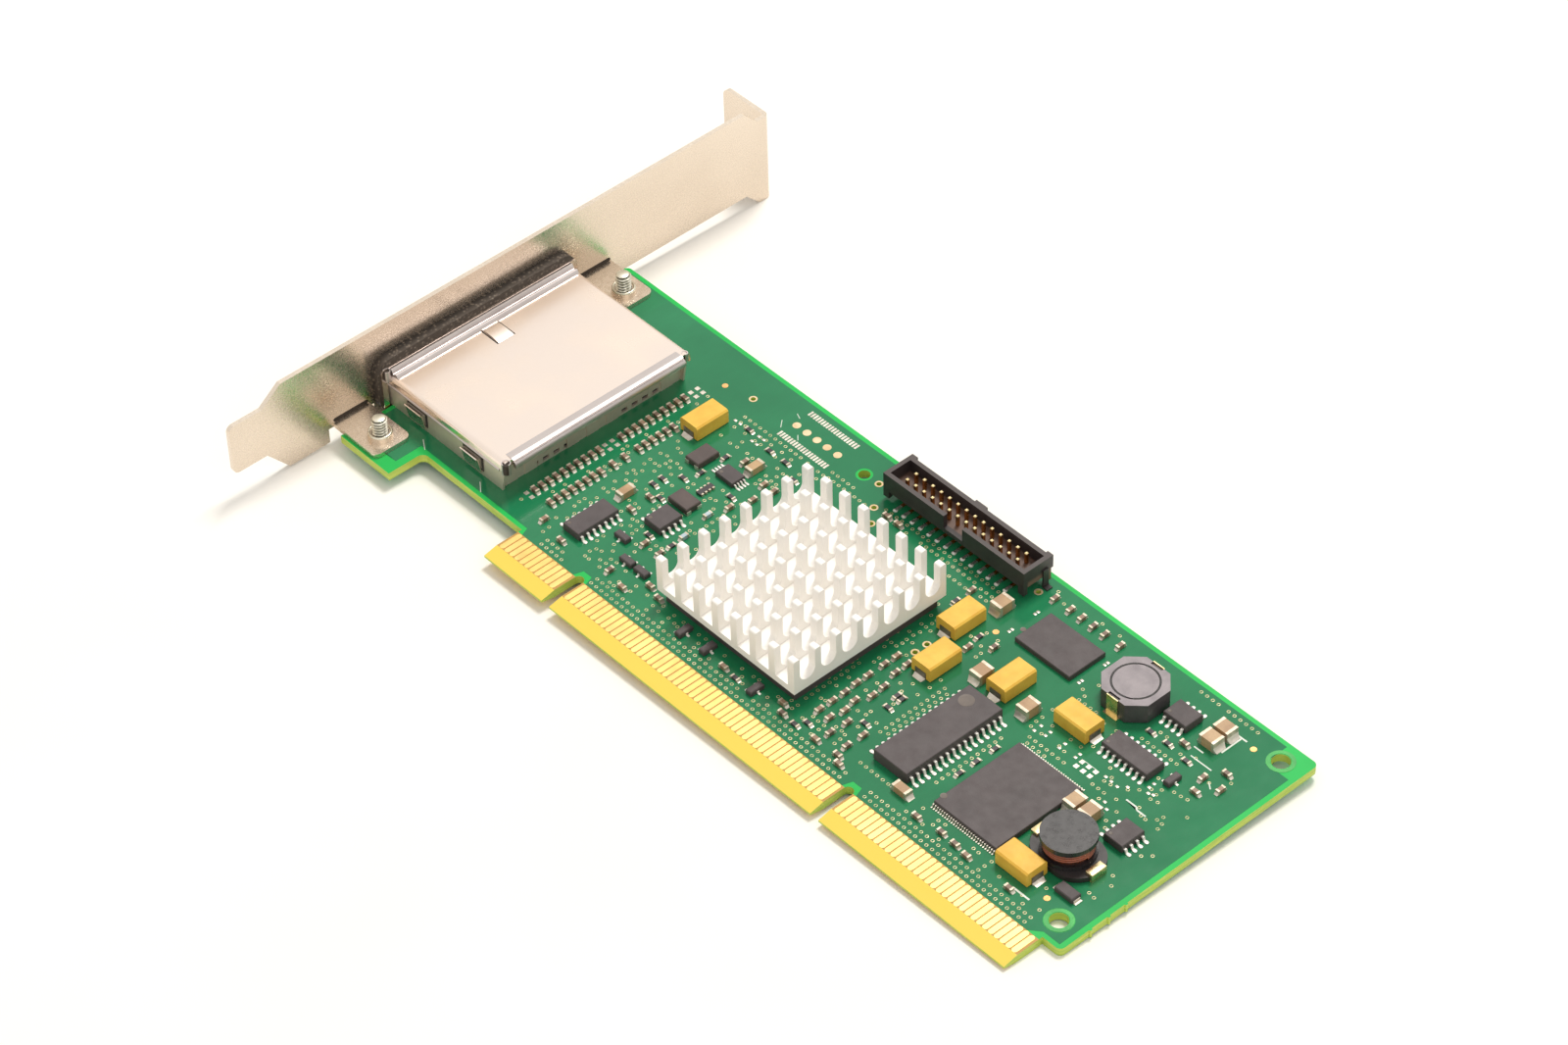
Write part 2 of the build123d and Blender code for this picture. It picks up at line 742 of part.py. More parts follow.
with BuildPart() as tantalum_strips:
    with BuildSketch(Plane.XY):
        with GridLocations(tantalum_length - tantalum_strip, 0, 2, 1):
            Rectangle(tantalum_strip, tantalum_strip_width)
    extrude(amount=tantalum_strip_height)
    with BuildSketch(Plane.XY):
        with GridLocations(tantalum_length - tantalum_foot, 0, 2, 1):
            Rectangle(tantalum_foot, tantalum_strip_width)
    extrude(amount=tantalum_strip)

with BuildPart() as tantalum_terminals:
    with Locations(*tantalum_places):
        add(tantalum_strips.part)
tantalum_terminals.part.label = "tantalum_terminals"
export_step(tantalum_terminals.part, "parts/tantalum_terminals.step")

# Shielded inductor: an eight-sided ferrite block with a round groove in its top
shield_place = (95.7, 53.8)
shield_length = 10.4
shield_width = 10.2
shield_height = 4.0
shield_corner = 2.6
shield_groove_radius = 4.1
shield_groove = 0.3
shield_notch_width = 2.4
shield_notch = 0.6
shield_strip = 0.2
shield_foot_width = 3.0
shield_foot_reach = 0.7

with BuildPart() as shielded_inductor:
    with BuildSketch(level(shield_strip)) as shield_outline:
        with Locations(shield_place):
            Rectangle(shield_length, shield_width)
        chamfer(shield_outline.vertices(), shield_corner)
    extrude(amount=shield_height - shield_strip)
    with BuildSketch(level(shield_height)):
        with Locations(shield_place):
            Circle(shield_groove_radius)
            Circle(shield_groove_radius - shield_groove, mode=Mode.SUBTRACT)
            with GridLocations(0, shield_width - shield_notch, 1, 2):
                Rectangle(shield_notch_width, shield_notch)
    extrude(amount=-shield_groove, mode=Mode.SUBTRACT)
shielded_inductor.part.label = "shielded_inductor"
export_step(shielded_inductor.part, "parts/shielded_inductor.step")

with BuildPart() as shielded_inductor_terminals:
    with BuildSketch(level(0)):
        with Locations(shield_place):
            with GridLocations(0, shield_width + 2 * shield_foot_reach - shield_foot_width, 1, 2):
                Rectangle(shield_foot_width, shield_foot_width)
    extrude(amount=shield_strip)
    with BuildSketch(level(0)):
        with Locations(shield_place):
            with GridLocations(0, shield_width + shield_strip, 1, 2):
                Rectangle(shield_notch_width, shield_strip)
    extrude(amount=shield_height)
shielded_inductor_terminals.part.label = "shielded_inductor_terminals"
export_step(shielded_inductor_terminals.part, "parts/shielded_inductor_terminals.step")

# Open drum inductor: a ferrite spool with a copper winding on a plastic base
drum_place = (112.3, 22.7)
drum_base_length = 13.0
drum_base_width = 9.4
drum_base = 0.9
drum_radius = 4.6
drum_height = 5.2
drum_flange = 0.9
drum_neck_radius = 2.4
drum_winding_radius = 4.2
drum_foot = 0.2
drum_foot_width = 3.2
drum_foot_length = 1.4
drum_bottom_z = drum_foot + drum_base
drum_flange_top_z = drum_bottom_z + drum_flange
drum_flange_low_z = drum_height - drum_flange

with BuildPart() as drum_inductor_base:
    with BuildSketch(level(drum_foot)):
        with Locations(drum_place):
            SlotOverall(drum_base_length, drum_base_width)
    extrude(amount=drum_base)
drum_inductor_base.part.label = "drum_inductor_base"
export_step(drum_inductor_base.part, "parts/drum_inductor_base.step")

with BuildPart() as drum_inductor_spool:
    for low_z, radius, high_z in (
        (drum_bottom_z, drum_radius, drum_flange_top_z),
        (drum_flange_top_z, drum_neck_radius, drum_flange_low_z),
        (drum_flange_low_z, drum_radius, drum_height),
    ):
        with BuildSketch(level(low_z)):
            with Locations(drum_place):
                Circle(radius)
        extrude(amount=high_z - low_z)
drum_inductor_spool.part.label = "drum_inductor_spool"
export_step(drum_inductor_spool.part, "parts/drum_inductor_spool.step")

with BuildPart() as drum_inductor_winding:
    with BuildSketch(level(drum_flange_top_z)):
        with Locations(drum_place):
            Circle(drum_winding_radius)
            Circle(drum_neck_radius, mode=Mode.SUBTRACT)
    extrude(amount=drum_flange_low_z - drum_flange_top_z)
drum_inductor_winding.part.label = "drum_inductor_winding"
export_step(drum_inductor_winding.part, "parts/drum_inductor_winding.step")

with BuildPart() as drum_inductor_terminals:
    with BuildSketch(level(0)):
        with Locations(drum_place):
            with GridLocations(drum_base_length - drum_foot_length, 0, 2, 1):
                Rectangle(drum_foot_length + 2 * drum_foot, drum_foot_width)
    extrude(amount=drum_foot)
    with BuildSketch(level(0)):
        with Locations(drum_place):
            with GridLocations(drum_base_length + drum_foot, 0, 2, 1):
                Rectangle(drum_foot, drum_foot_width)
    extrude(amount=drum_bottom_z)
drum_inductor_terminals.part.label = "drum_inductor_terminals"
export_step(drum_inductor_terminals.part, "parts/drum_inductor_terminals.step")


def leaded_chips(name, depth, chips, height, pitch, lead_width, lead_reach):
    """Moulded packages with gull-wing leads: their bodies in one node, their leads in another.

    Each chip is (x, y, width, leads a side, angle). Its leads leave the two sides that lie
    depth apart, and angle turns the whole chip.
    """
    lead_thickness = min(leaded_chip_sheet, height / 6)
    lead_z = (height + leaded_chip_standoff) / 2
    edge = depth / 2
    knee = edge + lead_neck_share * lead_reach
    heel = edge + (1 - lead_foot_share) * lead_reach
    tip = edge + lead_reach
    with BuildPart() as lead_pair:
        with BuildSketch(Plane.XZ.offset(-lead_width / 2)):
            with BuildLine():
                Polyline(
                    (edge, lead_z),
                    (knee + lead_thickness, lead_z),
                    (heel + lead_thickness, lead_thickness),
                    (tip, lead_thickness),
                    (tip, 0),
                    (heel, 0),
                    (knee, lead_z - lead_thickness),
                    (edge, lead_z - lead_thickness),
                    close=True,
                )
            make_face()
            mirror(about=Plane.YZ)
        extrude(amount=lead_width)
    with BuildPart() as bodies:
        with BuildSketch(level(leaded_chip_standoff)):
            for x, y, width, count, angle in chips:
                with Locations(Location((x, y, 0), (0, 0, angle))):
                    Rectangle(depth, width)
        extrude(amount=height - leaded_chip_standoff)
        chamfer(bodies.edges().group_by(Axis.Z)[-1], lead_thickness / 2)
    bodies.part.label = f"{name}_bodies"
    export_step(bodies.part, f"parts/{name}_bodies.step")
    lead_places = []
    for x, y, width, count, angle in chips:
        for i in range(count):
            along = Location((0, (i - (count - 1) / 2) * pitch, 0))
            lead_places += [spot * along for spot in spots([(x, y)], angle)]
    with BuildPart() as leads:
        with Locations(*lead_places):
            add(lead_pair.part)
    leads.part.label = f"{name}_leads"
    export_step(leads.part, f"parts/{name}_leads.step")


leaded_chip_sheet = 0.2
leaded_chip_standoff = 0.1
lead_neck_share = 0.2
lead_foot_share = 0.6
eight_lead_length = 4.9
small_outlines = [
    (13.9, 26.1, eight_lead_length, 4, 0),
    (5.7, 17.45, 8.7, 7, 0),
    (104.7, 44.2, 9.9, 8, 90),
    (104.1, 56.0, eight_lead_length, 4, 90),
    (115.8, 31.2, eight_lead_length, 4, 0),
]
thin_chips = [(13.3, 41.35, 2.9, 4, 0)]
static_chips = [(80.8, 25.1, 20.7, 16, 0)]
flash_chips = [(97.6, 24.0, 13.8, 28, 90)]
leaded_chips(
    "small_outline", depth=3.9, chips=small_outlines, height=1.6, pitch=1.27, lead_width=0.42, lead_reach=1.05
)
leaded_chips(
    "thin_eight_lead", depth=4.2, chips=thin_chips, height=1.0, pitch=0.65, lead_width=0.25, lead_reach=1.1
)
leaded_chips(
    "static_memory", depth=7.5, chips=static_chips, height=2.3, pitch=1.27, lead_width=0.42, lead_reach=1.4
)
leaded_chips(
    "flash_memory", depth=18.4, chips=flash_chips, height=1.1, pitch=0.5, lead_width=0.22, lead_reach=0.8
)

# Three-lead transistors: one lead on one side, two on the other
transistor_length = 2.9
transistor_width = 1.3
transistor_height = 1.0
transistor_standoff = 0.1
transistor_lead_width = 0.4
transistor_lead_reach = 0.6
transistor_lead_sheet = 0.15
transistor_lead_pitch = 1.9
transistor_places = spots([(12.15, 18.75), (17.1, 15.6), (20.6, 15.6)])
transistor_places += spots([(35.6, 11.6), (41.2, 11.8), (53.2, 11.2), (112.4, 45.2)], 90)

with BuildPart() as transistor_body:
    with BuildSketch(Plane.XY.offset(transistor_standoff)):
        Rectangle(transistor_length, transistor_width)
    extrude(amount=transistor_height - transistor_standoff)
    chamfer(transistor_body.edges().group_by(Axis.Z)[-1], transistor_lead_sheet)

with BuildPart() as transistor_bodies:
    with Locations(*transistor_places):
        add(transistor_body.part)
transistor_bodies.part.label = "transistor_bodies"
export_step(transistor_bodies.part, "parts/transistor_bodies.step")

with BuildPart() as transistor_lead_set:
    for direction, columns in ((-1, (0,)), (1, (-0.5, 0.5))):
        foot_y = direction * (transistor_width + transistor_lead_reach) / 2
        upright_y = direction * (transistor_width + transistor_lead_sheet) / 2
        lead_columns = [column * transistor_lead_pitch for column in columns]
        with BuildSketch(Plane.XY):
            with Locations(*[(x, foot_y) for x in lead_columns]):
                Rectangle(transistor_lead_width, transistor_lead_reach)
        extrude(amount=transistor_lead_sheet)
        with BuildSketch(Plane.XY):
            with Locations(*[(x, upright_y) for x in lead_columns]):
                Rectangle(transistor_lead_width, transistor_lead_sheet)
        extrude(amount=transistor_height / 2)

with BuildPart() as transistor_leads:
    with Locations(*transistor_places):
        add(transistor_lead_set.part)
transistor_leads.part.label = "transistor_leads"
export_step(transistor_leads.part, "parts/transistor_leads.step")

# Diode
diode_place = (118.1, 16.8)
diode_length = 3.8
diode_width = 2.0
diode_height = 1.1
diode_strip = 0.15
diode_strip_width = 1.4
diode_strip_reach = 0.6

with BuildPart() as diode_body:
    with BuildSketch(level(diode_strip)):
        with Locations(diode_place):
            Rectangle(diode_length, diode_width)
    extrude(amount=diode_height - diode_strip)
    chamfer(diode_body.edges().group_by(Axis.Z)[-1], diode_strip)
diode_body.part.label = "diode_body"
export_step(diode_body.part, "parts/diode_body.step")

with BuildPart() as diode_terminals:
    with BuildSketch(level(0)):
        with Locations(diode_place):
            with GridLocations(diode_length, 0, 2, 1):
                Rectangle(2 * diode_strip_reach, diode_strip_width)
    extrude(amount=diode_strip)
    with BuildSketch(level(0)):
        with Locations(diode_place):
            with GridLocations(diode_length + diode_strip, 0, 2, 1):
                Rectangle(diode_strip, diode_strip_width)
    extrude(amount=diode_height / 2)
diode_terminals.part.label = "diode_terminals"
export_step(diode_terminals.part, "parts/diode_terminals.step")

# Buffer memory in a package without leads
memory_place = (79.6, 53.0)
memory_length = 12.4
memory_width = 8.1
memory_height = 1.0
memory_edge = 0.1

with BuildPart() as memory_chip:
    with BuildSketch(level(0)):
        with Locations(memory_place):
            Rectangle(memory_length, memory_width)
    extrude(amount=memory_height)
    chamfer(memory_chip.edges().group_by(Axis.Z)[-1], memory_edge)
memory_chip.part.label = "memory_chip"
export_step(memory_chip.part, "parts/memory_chip.step")

# Clock oscillators, each on four folded contacts
oscillator_length = 5.0
oscillator_width = 3.2
oscillator_height = 1.3
oscillator_strip = 0.15
oscillator_contact = 0.9
oscillator_contact_height = 0.7
oscillator_places = spots([(6.65, 41.05)], 90) + spots([(12.9, 31.6)])

with BuildPart() as oscillator_body:
    with BuildSketch(Plane.XY.offset(oscillator_strip)):
        Rectangle(oscillator_length - 2 * oscillator_strip, oscillator_width)
    extrude(amount=oscillator_height - oscillator_strip)
    chamfer(oscillator_body.edges().group_by(Axis.Z)[-1], oscillator_strip)

with BuildPart() as oscillator_bodies:
    with Locations(*oscillator_places):
        add(oscillator_body.part)
oscillator_bodies.part.label = "oscillator_bodies"
export_step(oscillator_bodies.part, "parts/oscillator_bodies.step")

with BuildPart() as oscillator_contact_set:
    contact_rows = oscillator_width - oscillator_contact
    with BuildSketch(Plane.XY):
        with GridLocations(oscillator_length - oscillator_contact, contact_rows, 2, 2):
            Rectangle(oscillator_contact, oscillator_contact)
    extrude(amount=oscillator_strip)
    with BuildSketch(Plane.XY):
        with GridLocations(oscillator_length - oscillator_strip, contact_rows, 2, 2):
            Rectangle(oscillator_strip, oscillator_contact)
    extrude(amount=oscillator_contact_height)

with BuildPart() as oscillator_contacts:
    with Locations(*oscillator_places):
        add(oscillator_contact_set.part)
oscillator_contacts.part.label = "oscillator_contacts"
export_step(oscillator_contacts.part, "parts/oscillator_contacts.step")


def chip_parts(name, places, length, width, height, end_length):
    """Ceramic chips with a metal cap at each end: bodies in one node, caps in another."""
    with BuildPart() as chip_body:
        with BuildSketch(Plane.XY.offset(chip_solder)):
            Rectangle(length - 2 * end_length, width - 2 * chip_solder)
        extrude(amount=height - 2 * chip_solder)
    with BuildPart() as chip_ends:
        with BuildSketch(Plane.XY):
            with GridLocations(length - end_length, 0, 2, 1):
                Rectangle(end_length, width)
        extrude(amount=height)
    with BuildPart() as bodies:
        with Locations(*places):
            add(chip_body.part)
    bodies.part.label = f"{name}_bodies"
    export_step(bodies.part, f"parts/{name}_bodies.step")
    with BuildPart() as ends:
        with Locations(*places):
            add(chip_ends.part)
    ends.part.label = f"{name}_ends"
    export_step(ends.part, f"parts/{name}_ends.step")


# Ceramic capacitors. Two long rows stand behind the port cage, and the rest are scattered.
chip_solder = 0.03
row_pitch = 1.56
first_row_x = -6.5
second_row_x = -2.3
first_row = [(first_row_x, start + i * row_pitch) for start in (15.6, 34.6) for i in range(10)]
second_row = [(second_row_x, 15.5 + i * row_pitch) for i in range(8)]
second_row += [(second_row_x, 29.1), (second_row_x, 31.7)]
second_row += [(second_row_x, 34.7 + i * row_pitch) for i in range(6)]
top_edge_gap = 4.21
top_edge_row = [(x, board_height - top_edge_gap) for x in (71.1, 74.7, 77.3, 79.9, 82.5, 86.0)]
lower_edge_row = [(46.0, 10.9), (58.5, 12.4), (60.1, 10.8), (67.9, 10.8), (72.8, 11.0), (74.3, 9.8)]
lower_edge_row += [(90.8, 11.0), (95.9, 11.5), (99.1, 11.3), (102.0, 10.9), (111.3, 11.0)]
lying_capacitors = [(8.0, 28.3), (8.1, 24.1), (21.0, 11.0), (5.8, 10.9), (24.0, 14.5), (27.1, 13.6)]
lying_capacitors += [(38.3, 53.7), (41.0, 53.7), (108.2, 52.2), (117.3, 52.3), (116.6, 46.0)]
upright_capacitors = [
    (18.7, 44.0),
    (21.1, 44.1),
    (20.2, 40.2),
    (18.9, 36.2),
    (12.4, 45.4),
    (15.8, 20.4),
    (19.3, 20.6),
    (16.6, 12.1),
    (0.0, 12.1),
    (60.5, 51.7),
    (72.4, 45.3),
    (69.5, 42.3),
    (115.3, 49.0),
    (119.0, 49.1),
]
supply_capacitors = [
    (63.2, 32.6),
    (65.7, 32.6),
    (63.2, 29.9),
    (65.8, 29.9),
    (63.2, 26.4),
    (66.8, 26.5),
    (63.2, 23.8),
    (67.0, 23.8),
    (63.5, 21.1),
    (65.9, 21.0),
    (63.5, 18.4),
    (66.4, 18.4),
    (63.5, 15.6),
    (65.9, 15.6),
    (68.6, 16.9),
    (72.4, 16.8),
    (68.4, 13.4),
    (72.3, 13.4),
]
small_capacitor_places = spots(first_row + second_row + lower_edge_row + lying_capacitors)
small_capacitor_places += spots(top_edge_row + upright_capacitors + supply_capacitors, 90)
chip_parts("small_capacitor", small_capacitor_places, length=1.6, width=0.8, height=0.8, end_length=0.35)

medium_capacitor_places = spots([(4.5, 26.0), (14.8, 45.5)], 90) + spots([(85.4, 13.0)])
chip_parts("medium_capacitor", medium_capacitor_places, length=3.2, width=1.6, height=1.4, end_length=0.5)

large_capacitor_places = spots([(66.7, 52.6), (75.7, 39.4), (86.3, 39.4), (105.9, 30.4), (109.0, 30.6)], 90)
large_capacitor_places += spots([(110.9, board_height - gap) for gap in (5.91, 9.01)])
chip_parts("large_capacitor", large_capacitor_places, length=3.2, width=2.5, height=2.0, end_length=0.55)

# Thick-film resistors, ferrite beads and one resistor array
lying_resistors = [(6.8, 51.4), (13.1, 50.4), (17.0, 50.4), (21.1, 48.4), (17.0, 38.2), (8.1, 35.5)]
lying_resistors += [(5.9, 32.9), (5.9, 30.9), (9.2, 29.5), (14.6, 22.3), (49.0, 10.7), (63.1, 10.7)]
lying_resistors += [(64.3, 12.4), (70.5, 23.9), (70.6, 18.9), (102.7, 50.3), (106.3, 50.4), (110.9, 49.8)]
upright_resistors = [(9.2, 43.9), (9.2, 38.4), (19.1, 23.3), (60.4, 48.3), (68.9, 45.3)]
upright_resistors += [(69.6, 26.7), (70.7, 26.7), (88.6, 29.9), (88.6, 25.8), (88.6, 22.2)]
resistor_places = spots(lying_resistors) + spots(upright_resistors, 90)
chip_parts("resistor", resistor_places, length=1.6, width=0.8, height=0.45, end_length=0.3)

bead_places = spots([(17.8, 32.4), (19.0, 26.1)], 90)
chip_parts("ferrite_bead", bead_places, length=1.6, width=0.8, height=0.8, end_length=0.3)

array_place = (12.8, 36.3)
array_length = 3.2
array_width = 1.6
array_height = 0.5
array_pitch = 0.8
array_end_length = 0.3
array_end_width = 0.45

with BuildPart() as resistor_array_body:
    with BuildSketch(level(chip_solder)):
        with Locations(array_place):
            Rectangle(array_width - 2 * array_end_length, array_length)
    extrude(amount=array_height - 2 * chip_solder)
resistor_array_body.part.label = "resistor_array_body"
export_step(resistor_array_body.part, "parts/resistor_array_body.step")

with BuildPart() as resistor_array_ends:
    with BuildSketch(level(0)):
        with Locations(array_place):
            with GridLocations(array_width - array_end_length, array_pitch, 2, 4):
                Rectangle(array_end_length, array_end_width)
    extrude(amount=array_height)
resistor_array_ends.part.label = "resistor_array_ends"
export_step(resistor_array_ends.part, "parts/resistor_array_ends.step")
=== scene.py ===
import bmesh
import bpy
import json
import math
import random
from mathutils import Matrix, Vector


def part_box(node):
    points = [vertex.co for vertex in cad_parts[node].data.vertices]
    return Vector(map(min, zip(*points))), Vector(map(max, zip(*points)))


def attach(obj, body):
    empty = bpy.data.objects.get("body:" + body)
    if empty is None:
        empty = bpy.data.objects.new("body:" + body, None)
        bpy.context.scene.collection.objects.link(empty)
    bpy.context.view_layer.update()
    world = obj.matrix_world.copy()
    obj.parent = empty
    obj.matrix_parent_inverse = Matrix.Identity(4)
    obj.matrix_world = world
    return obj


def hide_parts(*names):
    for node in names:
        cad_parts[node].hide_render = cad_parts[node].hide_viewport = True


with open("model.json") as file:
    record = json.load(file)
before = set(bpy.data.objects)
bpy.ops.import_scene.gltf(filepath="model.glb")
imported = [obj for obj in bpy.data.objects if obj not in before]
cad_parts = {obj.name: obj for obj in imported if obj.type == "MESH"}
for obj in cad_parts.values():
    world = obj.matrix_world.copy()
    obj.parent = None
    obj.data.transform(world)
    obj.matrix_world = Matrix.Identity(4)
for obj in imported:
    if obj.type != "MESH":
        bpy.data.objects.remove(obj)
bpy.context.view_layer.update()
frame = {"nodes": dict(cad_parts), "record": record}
nodes = frame["nodes"]
print("frame loaded:", len(nodes), "nodes")

# The card's own zero: middle of the first contact, tip of the edge connector, top of the board
mm = 0.001
boardLow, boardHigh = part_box("circuit_board")
boardLeft = -39.6
cardZero = Vector((boardLow.x - boardLeft * mm, boardLow.y, boardHigh.z))
boardTop = 64.41
underside = -1.57
farEnd = 125.44
shoulder = 8.05
screwX = -34.2
screwRows = (4.95, 58.9)


def at(x, y, z=0.0):
    # a place on the card, given in millimetres
    return cardZero + Vector((x, y, z)) * mm


def paint(red, green, blue):
    # a colour as a paint program gives it, made linear for the shader
    channels = []
    for value in (red, green, blue):
        share = value / 255
        channels.append(share / 12.92 if share <= 0.04045 else ((share + 0.055) / 1.055) ** 2.4)
    return (*channels, 1.0)


def clearSelection():
    if bpy.context.object and bpy.context.object.mode == "EDIT":
        bpy.ops.object.mode_set(mode="OBJECT")
    bpy.ops.object.select_all(action="DESELECT")


def pick(piece):
    clearSelection()
    piece.select_set(True)
    bpy.context.view_layer.objects.active = piece


# Material helpers


def newShader(name, settings):
    material = bpy.data.materials.new(name)
    material.use_nodes = True
    tree = material.node_tree
    shader = tree.nodes["Principled BSDF"]
    for socket, value in settings.items():
        shader.inputs[socket].default_value = value
    return material, tree, shader


def addNode(tree, kind, inputs=None, **settings):
    node = tree.nodes.new("ShaderNode" + kind)
    for name, value in settings.items():
        setattr(node, name, value)
    for key, value in (inputs or {}).items():
        if isinstance(value, bpy.types.NodeSocket):
            tree.links.new(value, node.inputs[key])
        else:
            node.inputs[key].default_value = value
    return node


def placeSocket(tree, stretch=(1, 1, 1)):
    coords = addNode(tree, "TexCoord").outputs["Object"]
    if stretch == (1, 1, 1):
        return coords
    return addNode(tree, "Mapping", {"Vector": coords, "Scale": stretch}).outputs["Vector"]


def noiseSocket(tree, scale, detail=3.0, rough=0.55, stretch=(1, 1, 1)):
    spots = {"Vector": placeSocket(tree, stretch), "Scale": scale, "Detail": detail, "Roughness": rough}
    return addNode(tree, "TexNoise", spots).outputs["Fac"]


def mathSocket(tree, operation, first, second=0.5):
    return addNode(tree, "Math", {0: first, 1: second}, operation=operation).outputs[0]


def rangeSocket(tree, value, low, high, newLow=0.0, newHigh=1.0):
    spread = {"Value": value, "From Min": low, "From Max": high, "To Min": newLow, "To Max": newHigh}
    return addNode(tree, "MapRange", spread).outputs["Result"]


def cloudSocket(tree, scale, detail=3.0, low=0.3, high=0.7, newLow=0.0, newHigh=1.0):
    # soft patches: noise with its middle range spread out
    return rangeSocket(tree, noiseSocket(tree, scale, detail), low, high, newLow, newHigh)


def mixSocket(tree, factor, first, second):
    # each of the two is a socket or a colour in paint values
    ends = [end if isinstance(end, bpy.types.NodeSocket) else paint(*end) for end in (first, second)]
    return addNode(tree, "Mix", {0: factor, 6: ends[0], 7: ends[1]}, data_type="RGBA").outputs[2]


def cardAxis(tree, axis):
    return addNode(tree, "SeparateXYZ", {"Vector": placeSocket(tree)}).outputs[axis]


def cardLevel(axis, value):
    # a place along one axis of the card, as the shader's coordinates give it
    return at(value, value, value)["XYZ".index(axis)]


def maskSocket(tree, axis, operation, value):
    return mathSocket(tree, operation, cardAxis(tree, axis), cardLevel(axis, value))


def fadeSocket(tree, axis, low, high):
    return rangeSocket(tree, cardAxis(tree, axis), cardLevel(axis, low), cardLevel(axis, high))


def dressShader(tree, shader, colour, gloss, relief, height):
    bump = addNode(tree, "Bump", {"Height": relief, "Distance": height * mm})
    for name, socket in (("Base Color", colour), ("Roughness", gloss), ("Normal", bump.outputs["Normal"])):
        tree.links.new(socket, shader.inputs[name])


# Plain finishes: patch and grain are noise scales, and grain's second number is its height in millimetres

finishes = {
    "gold": {
        "colour": (243, 202, 130), "second": (235, 190, 114), "metal": 1.0,
        "rough": (0.34, 0.46), "patch": 160, "grain": (5200, 0.004),
    },
    "tinned_copper": {
        "colour": (230, 222, 210), "second": (192, 184, 172), "metal": 0.7,
        "rough": (0.3, 0.46), "patch": 700, "grain": (2600, 0.02),
    },
    "screw_steel": {
        "colour": (226, 220, 205), "second": (200, 196, 176), "metal": 1.0,
        "rough": (0.22, 0.36), "patch": 900, "grain": (3800, 0.008),
    },
    "black_plastic": {
        "colour": (52, 46, 46), "second": (42, 37, 38),
        "rough": (0.36, 0.5), "patch": 260, "grain": (5200, 0.012),
    },
    "chip_plastic": {
        "colour": (81, 72, 73), "second": (72, 64, 65),
        "rough": (0.5, 0.64), "patch": 240, "grain": (5600, 0.018),
    },
    "moulding_mark": {
        "colour": (104, 92, 84), "second": (92, 82, 76),
        "rough": (0.36, 0.5), "patch": 700, "grain": (5600, 0.008),
    },
    "thermal_pad": {
        "colour": (196, 194, 190), "second": (182, 180, 176),
        "rough": (0.6, 0.75), "patch": 300, "grain": (3000, 0.02),
    },
    "heatsink_metal": {
        "colour": (251, 248, 244), "second": (246, 242, 236),
        "rough": (0.42, 0.56), "patch": 180, "grain": (4200, 0.012),
    },
    "brass_strip": {
        "colour": (245, 228, 182), "second": (222, 198, 146), "metal": 1.0,
        "rough": (0.22, 0.36), "patch": 500, "grain": (3000, 0.01),
    },
    "lead_tin": {
        "colour": (248, 244, 238), "second": (226, 220, 212), "metal": 0.2,
        "rough": (0.3, 0.42), "patch": 900, "grain": (2600, 0.01),
    },
    "cap_tin": {
        "colour": (214, 202, 184), "second": (184, 170, 150), "metal": 0.6,
        "rough": (0.34, 0.5), "patch": 700, "grain": (2600, 0.02),
    },
    # tin darkened as painted shade, for the tantalum terminal strips
    "strip_tin_shaded": {
        "colour": (150, 140, 130), "second": (112, 102, 94), "metal": 0.7,
        "rough": (0.34, 0.46), "patch": 700, "grain": (2600, 0.01),
    },
    "drum_ferrite": {
        "colour": (44, 40, 42), "second": (32, 29, 31), "specular": 0.7,
        "rough": (0.24, 0.36), "patch": 420, "grain": (4600, 0.008),
    },
    "gap_resin": {
        "colour": (34, 30, 30), "second": (26, 23, 23),
        "rough": (0.2, 0.34), "patch": 500, "grain": (3000, 0.01),
    },
    "oscillator_plastic": {
        "colour": (84, 70, 67), "second": (72, 60, 58),
        "rough": (0.4, 0.55), "patch": 300, "grain": (5200, 0.014),
    },
    "resistor_film": {
        "colour": (66, 60, 62), "second": (48, 44, 46),
        "rough": (0.3, 0.5), "patch": 900, "grain": (4200, 0.01),
    },
    "bead_ceramic": {
        "colour": (196, 208, 214), "second": (170, 186, 196),
        "rough": (0.35, 0.5), "patch": 700, "grain": (3800, 0.015),
    },
    # dark steel for pieces that stand in for shade: painted shade
    "shadowed_steel": {
        "colour": (70, 60, 52), "second": (50, 43, 38), "specular": 0.3,
        "rough": (0.5, 0.7), "patch": 400, "grain": (3000, 0.01),
    },
    # near-black for the openings in the cage: painted shade
    "cage_opening_shade": {
        "colour": (42, 38, 34), "second": (30, 27, 25),
        "rough": (0.6, 0.8), "patch": 400, "grain": (3000, 0.01),
    },
    "white_ink": {
        "colour": (238, 240, 232), "second": (216, 224, 212),
        "rough": (0.5, 0.65), "patch": 900, "grain": (4200, 0.01),
    },
    "bare_copper": {
        "colour": (240, 178, 118), "second": (222, 156, 98), "metal": 0.8,
        "rough": (0.3, 0.45), "patch": 900, "grain": (4200, 0.01),
    },
}


def plainFinish(name, look):
    # two close colours in soft patches, uneven gloss, fine grain
    settings = {"Metallic": look.get("metal", 0.0), "Specular IOR Level": look.get("specular", 0.5)}
    material, tree, shader = newShader(name, settings)
    patches = cloudSocket(tree, look["patch"], 4.0, 0.32, 0.68)
    colour = mixSocket(tree, patches, look["colour"], look["second"])
    gloss = cloudSocket(tree, look["patch"] * 2.3, 3.0, 0.3, 0.7, *look["rough"])
    scale, height = look["grain"]
    dressShader(tree, shader, colour, gloss, noiseSocket(tree, scale, 2.0), height)
    return material


# Finishes with zones: a mottled ground, and other tones past a level on the card

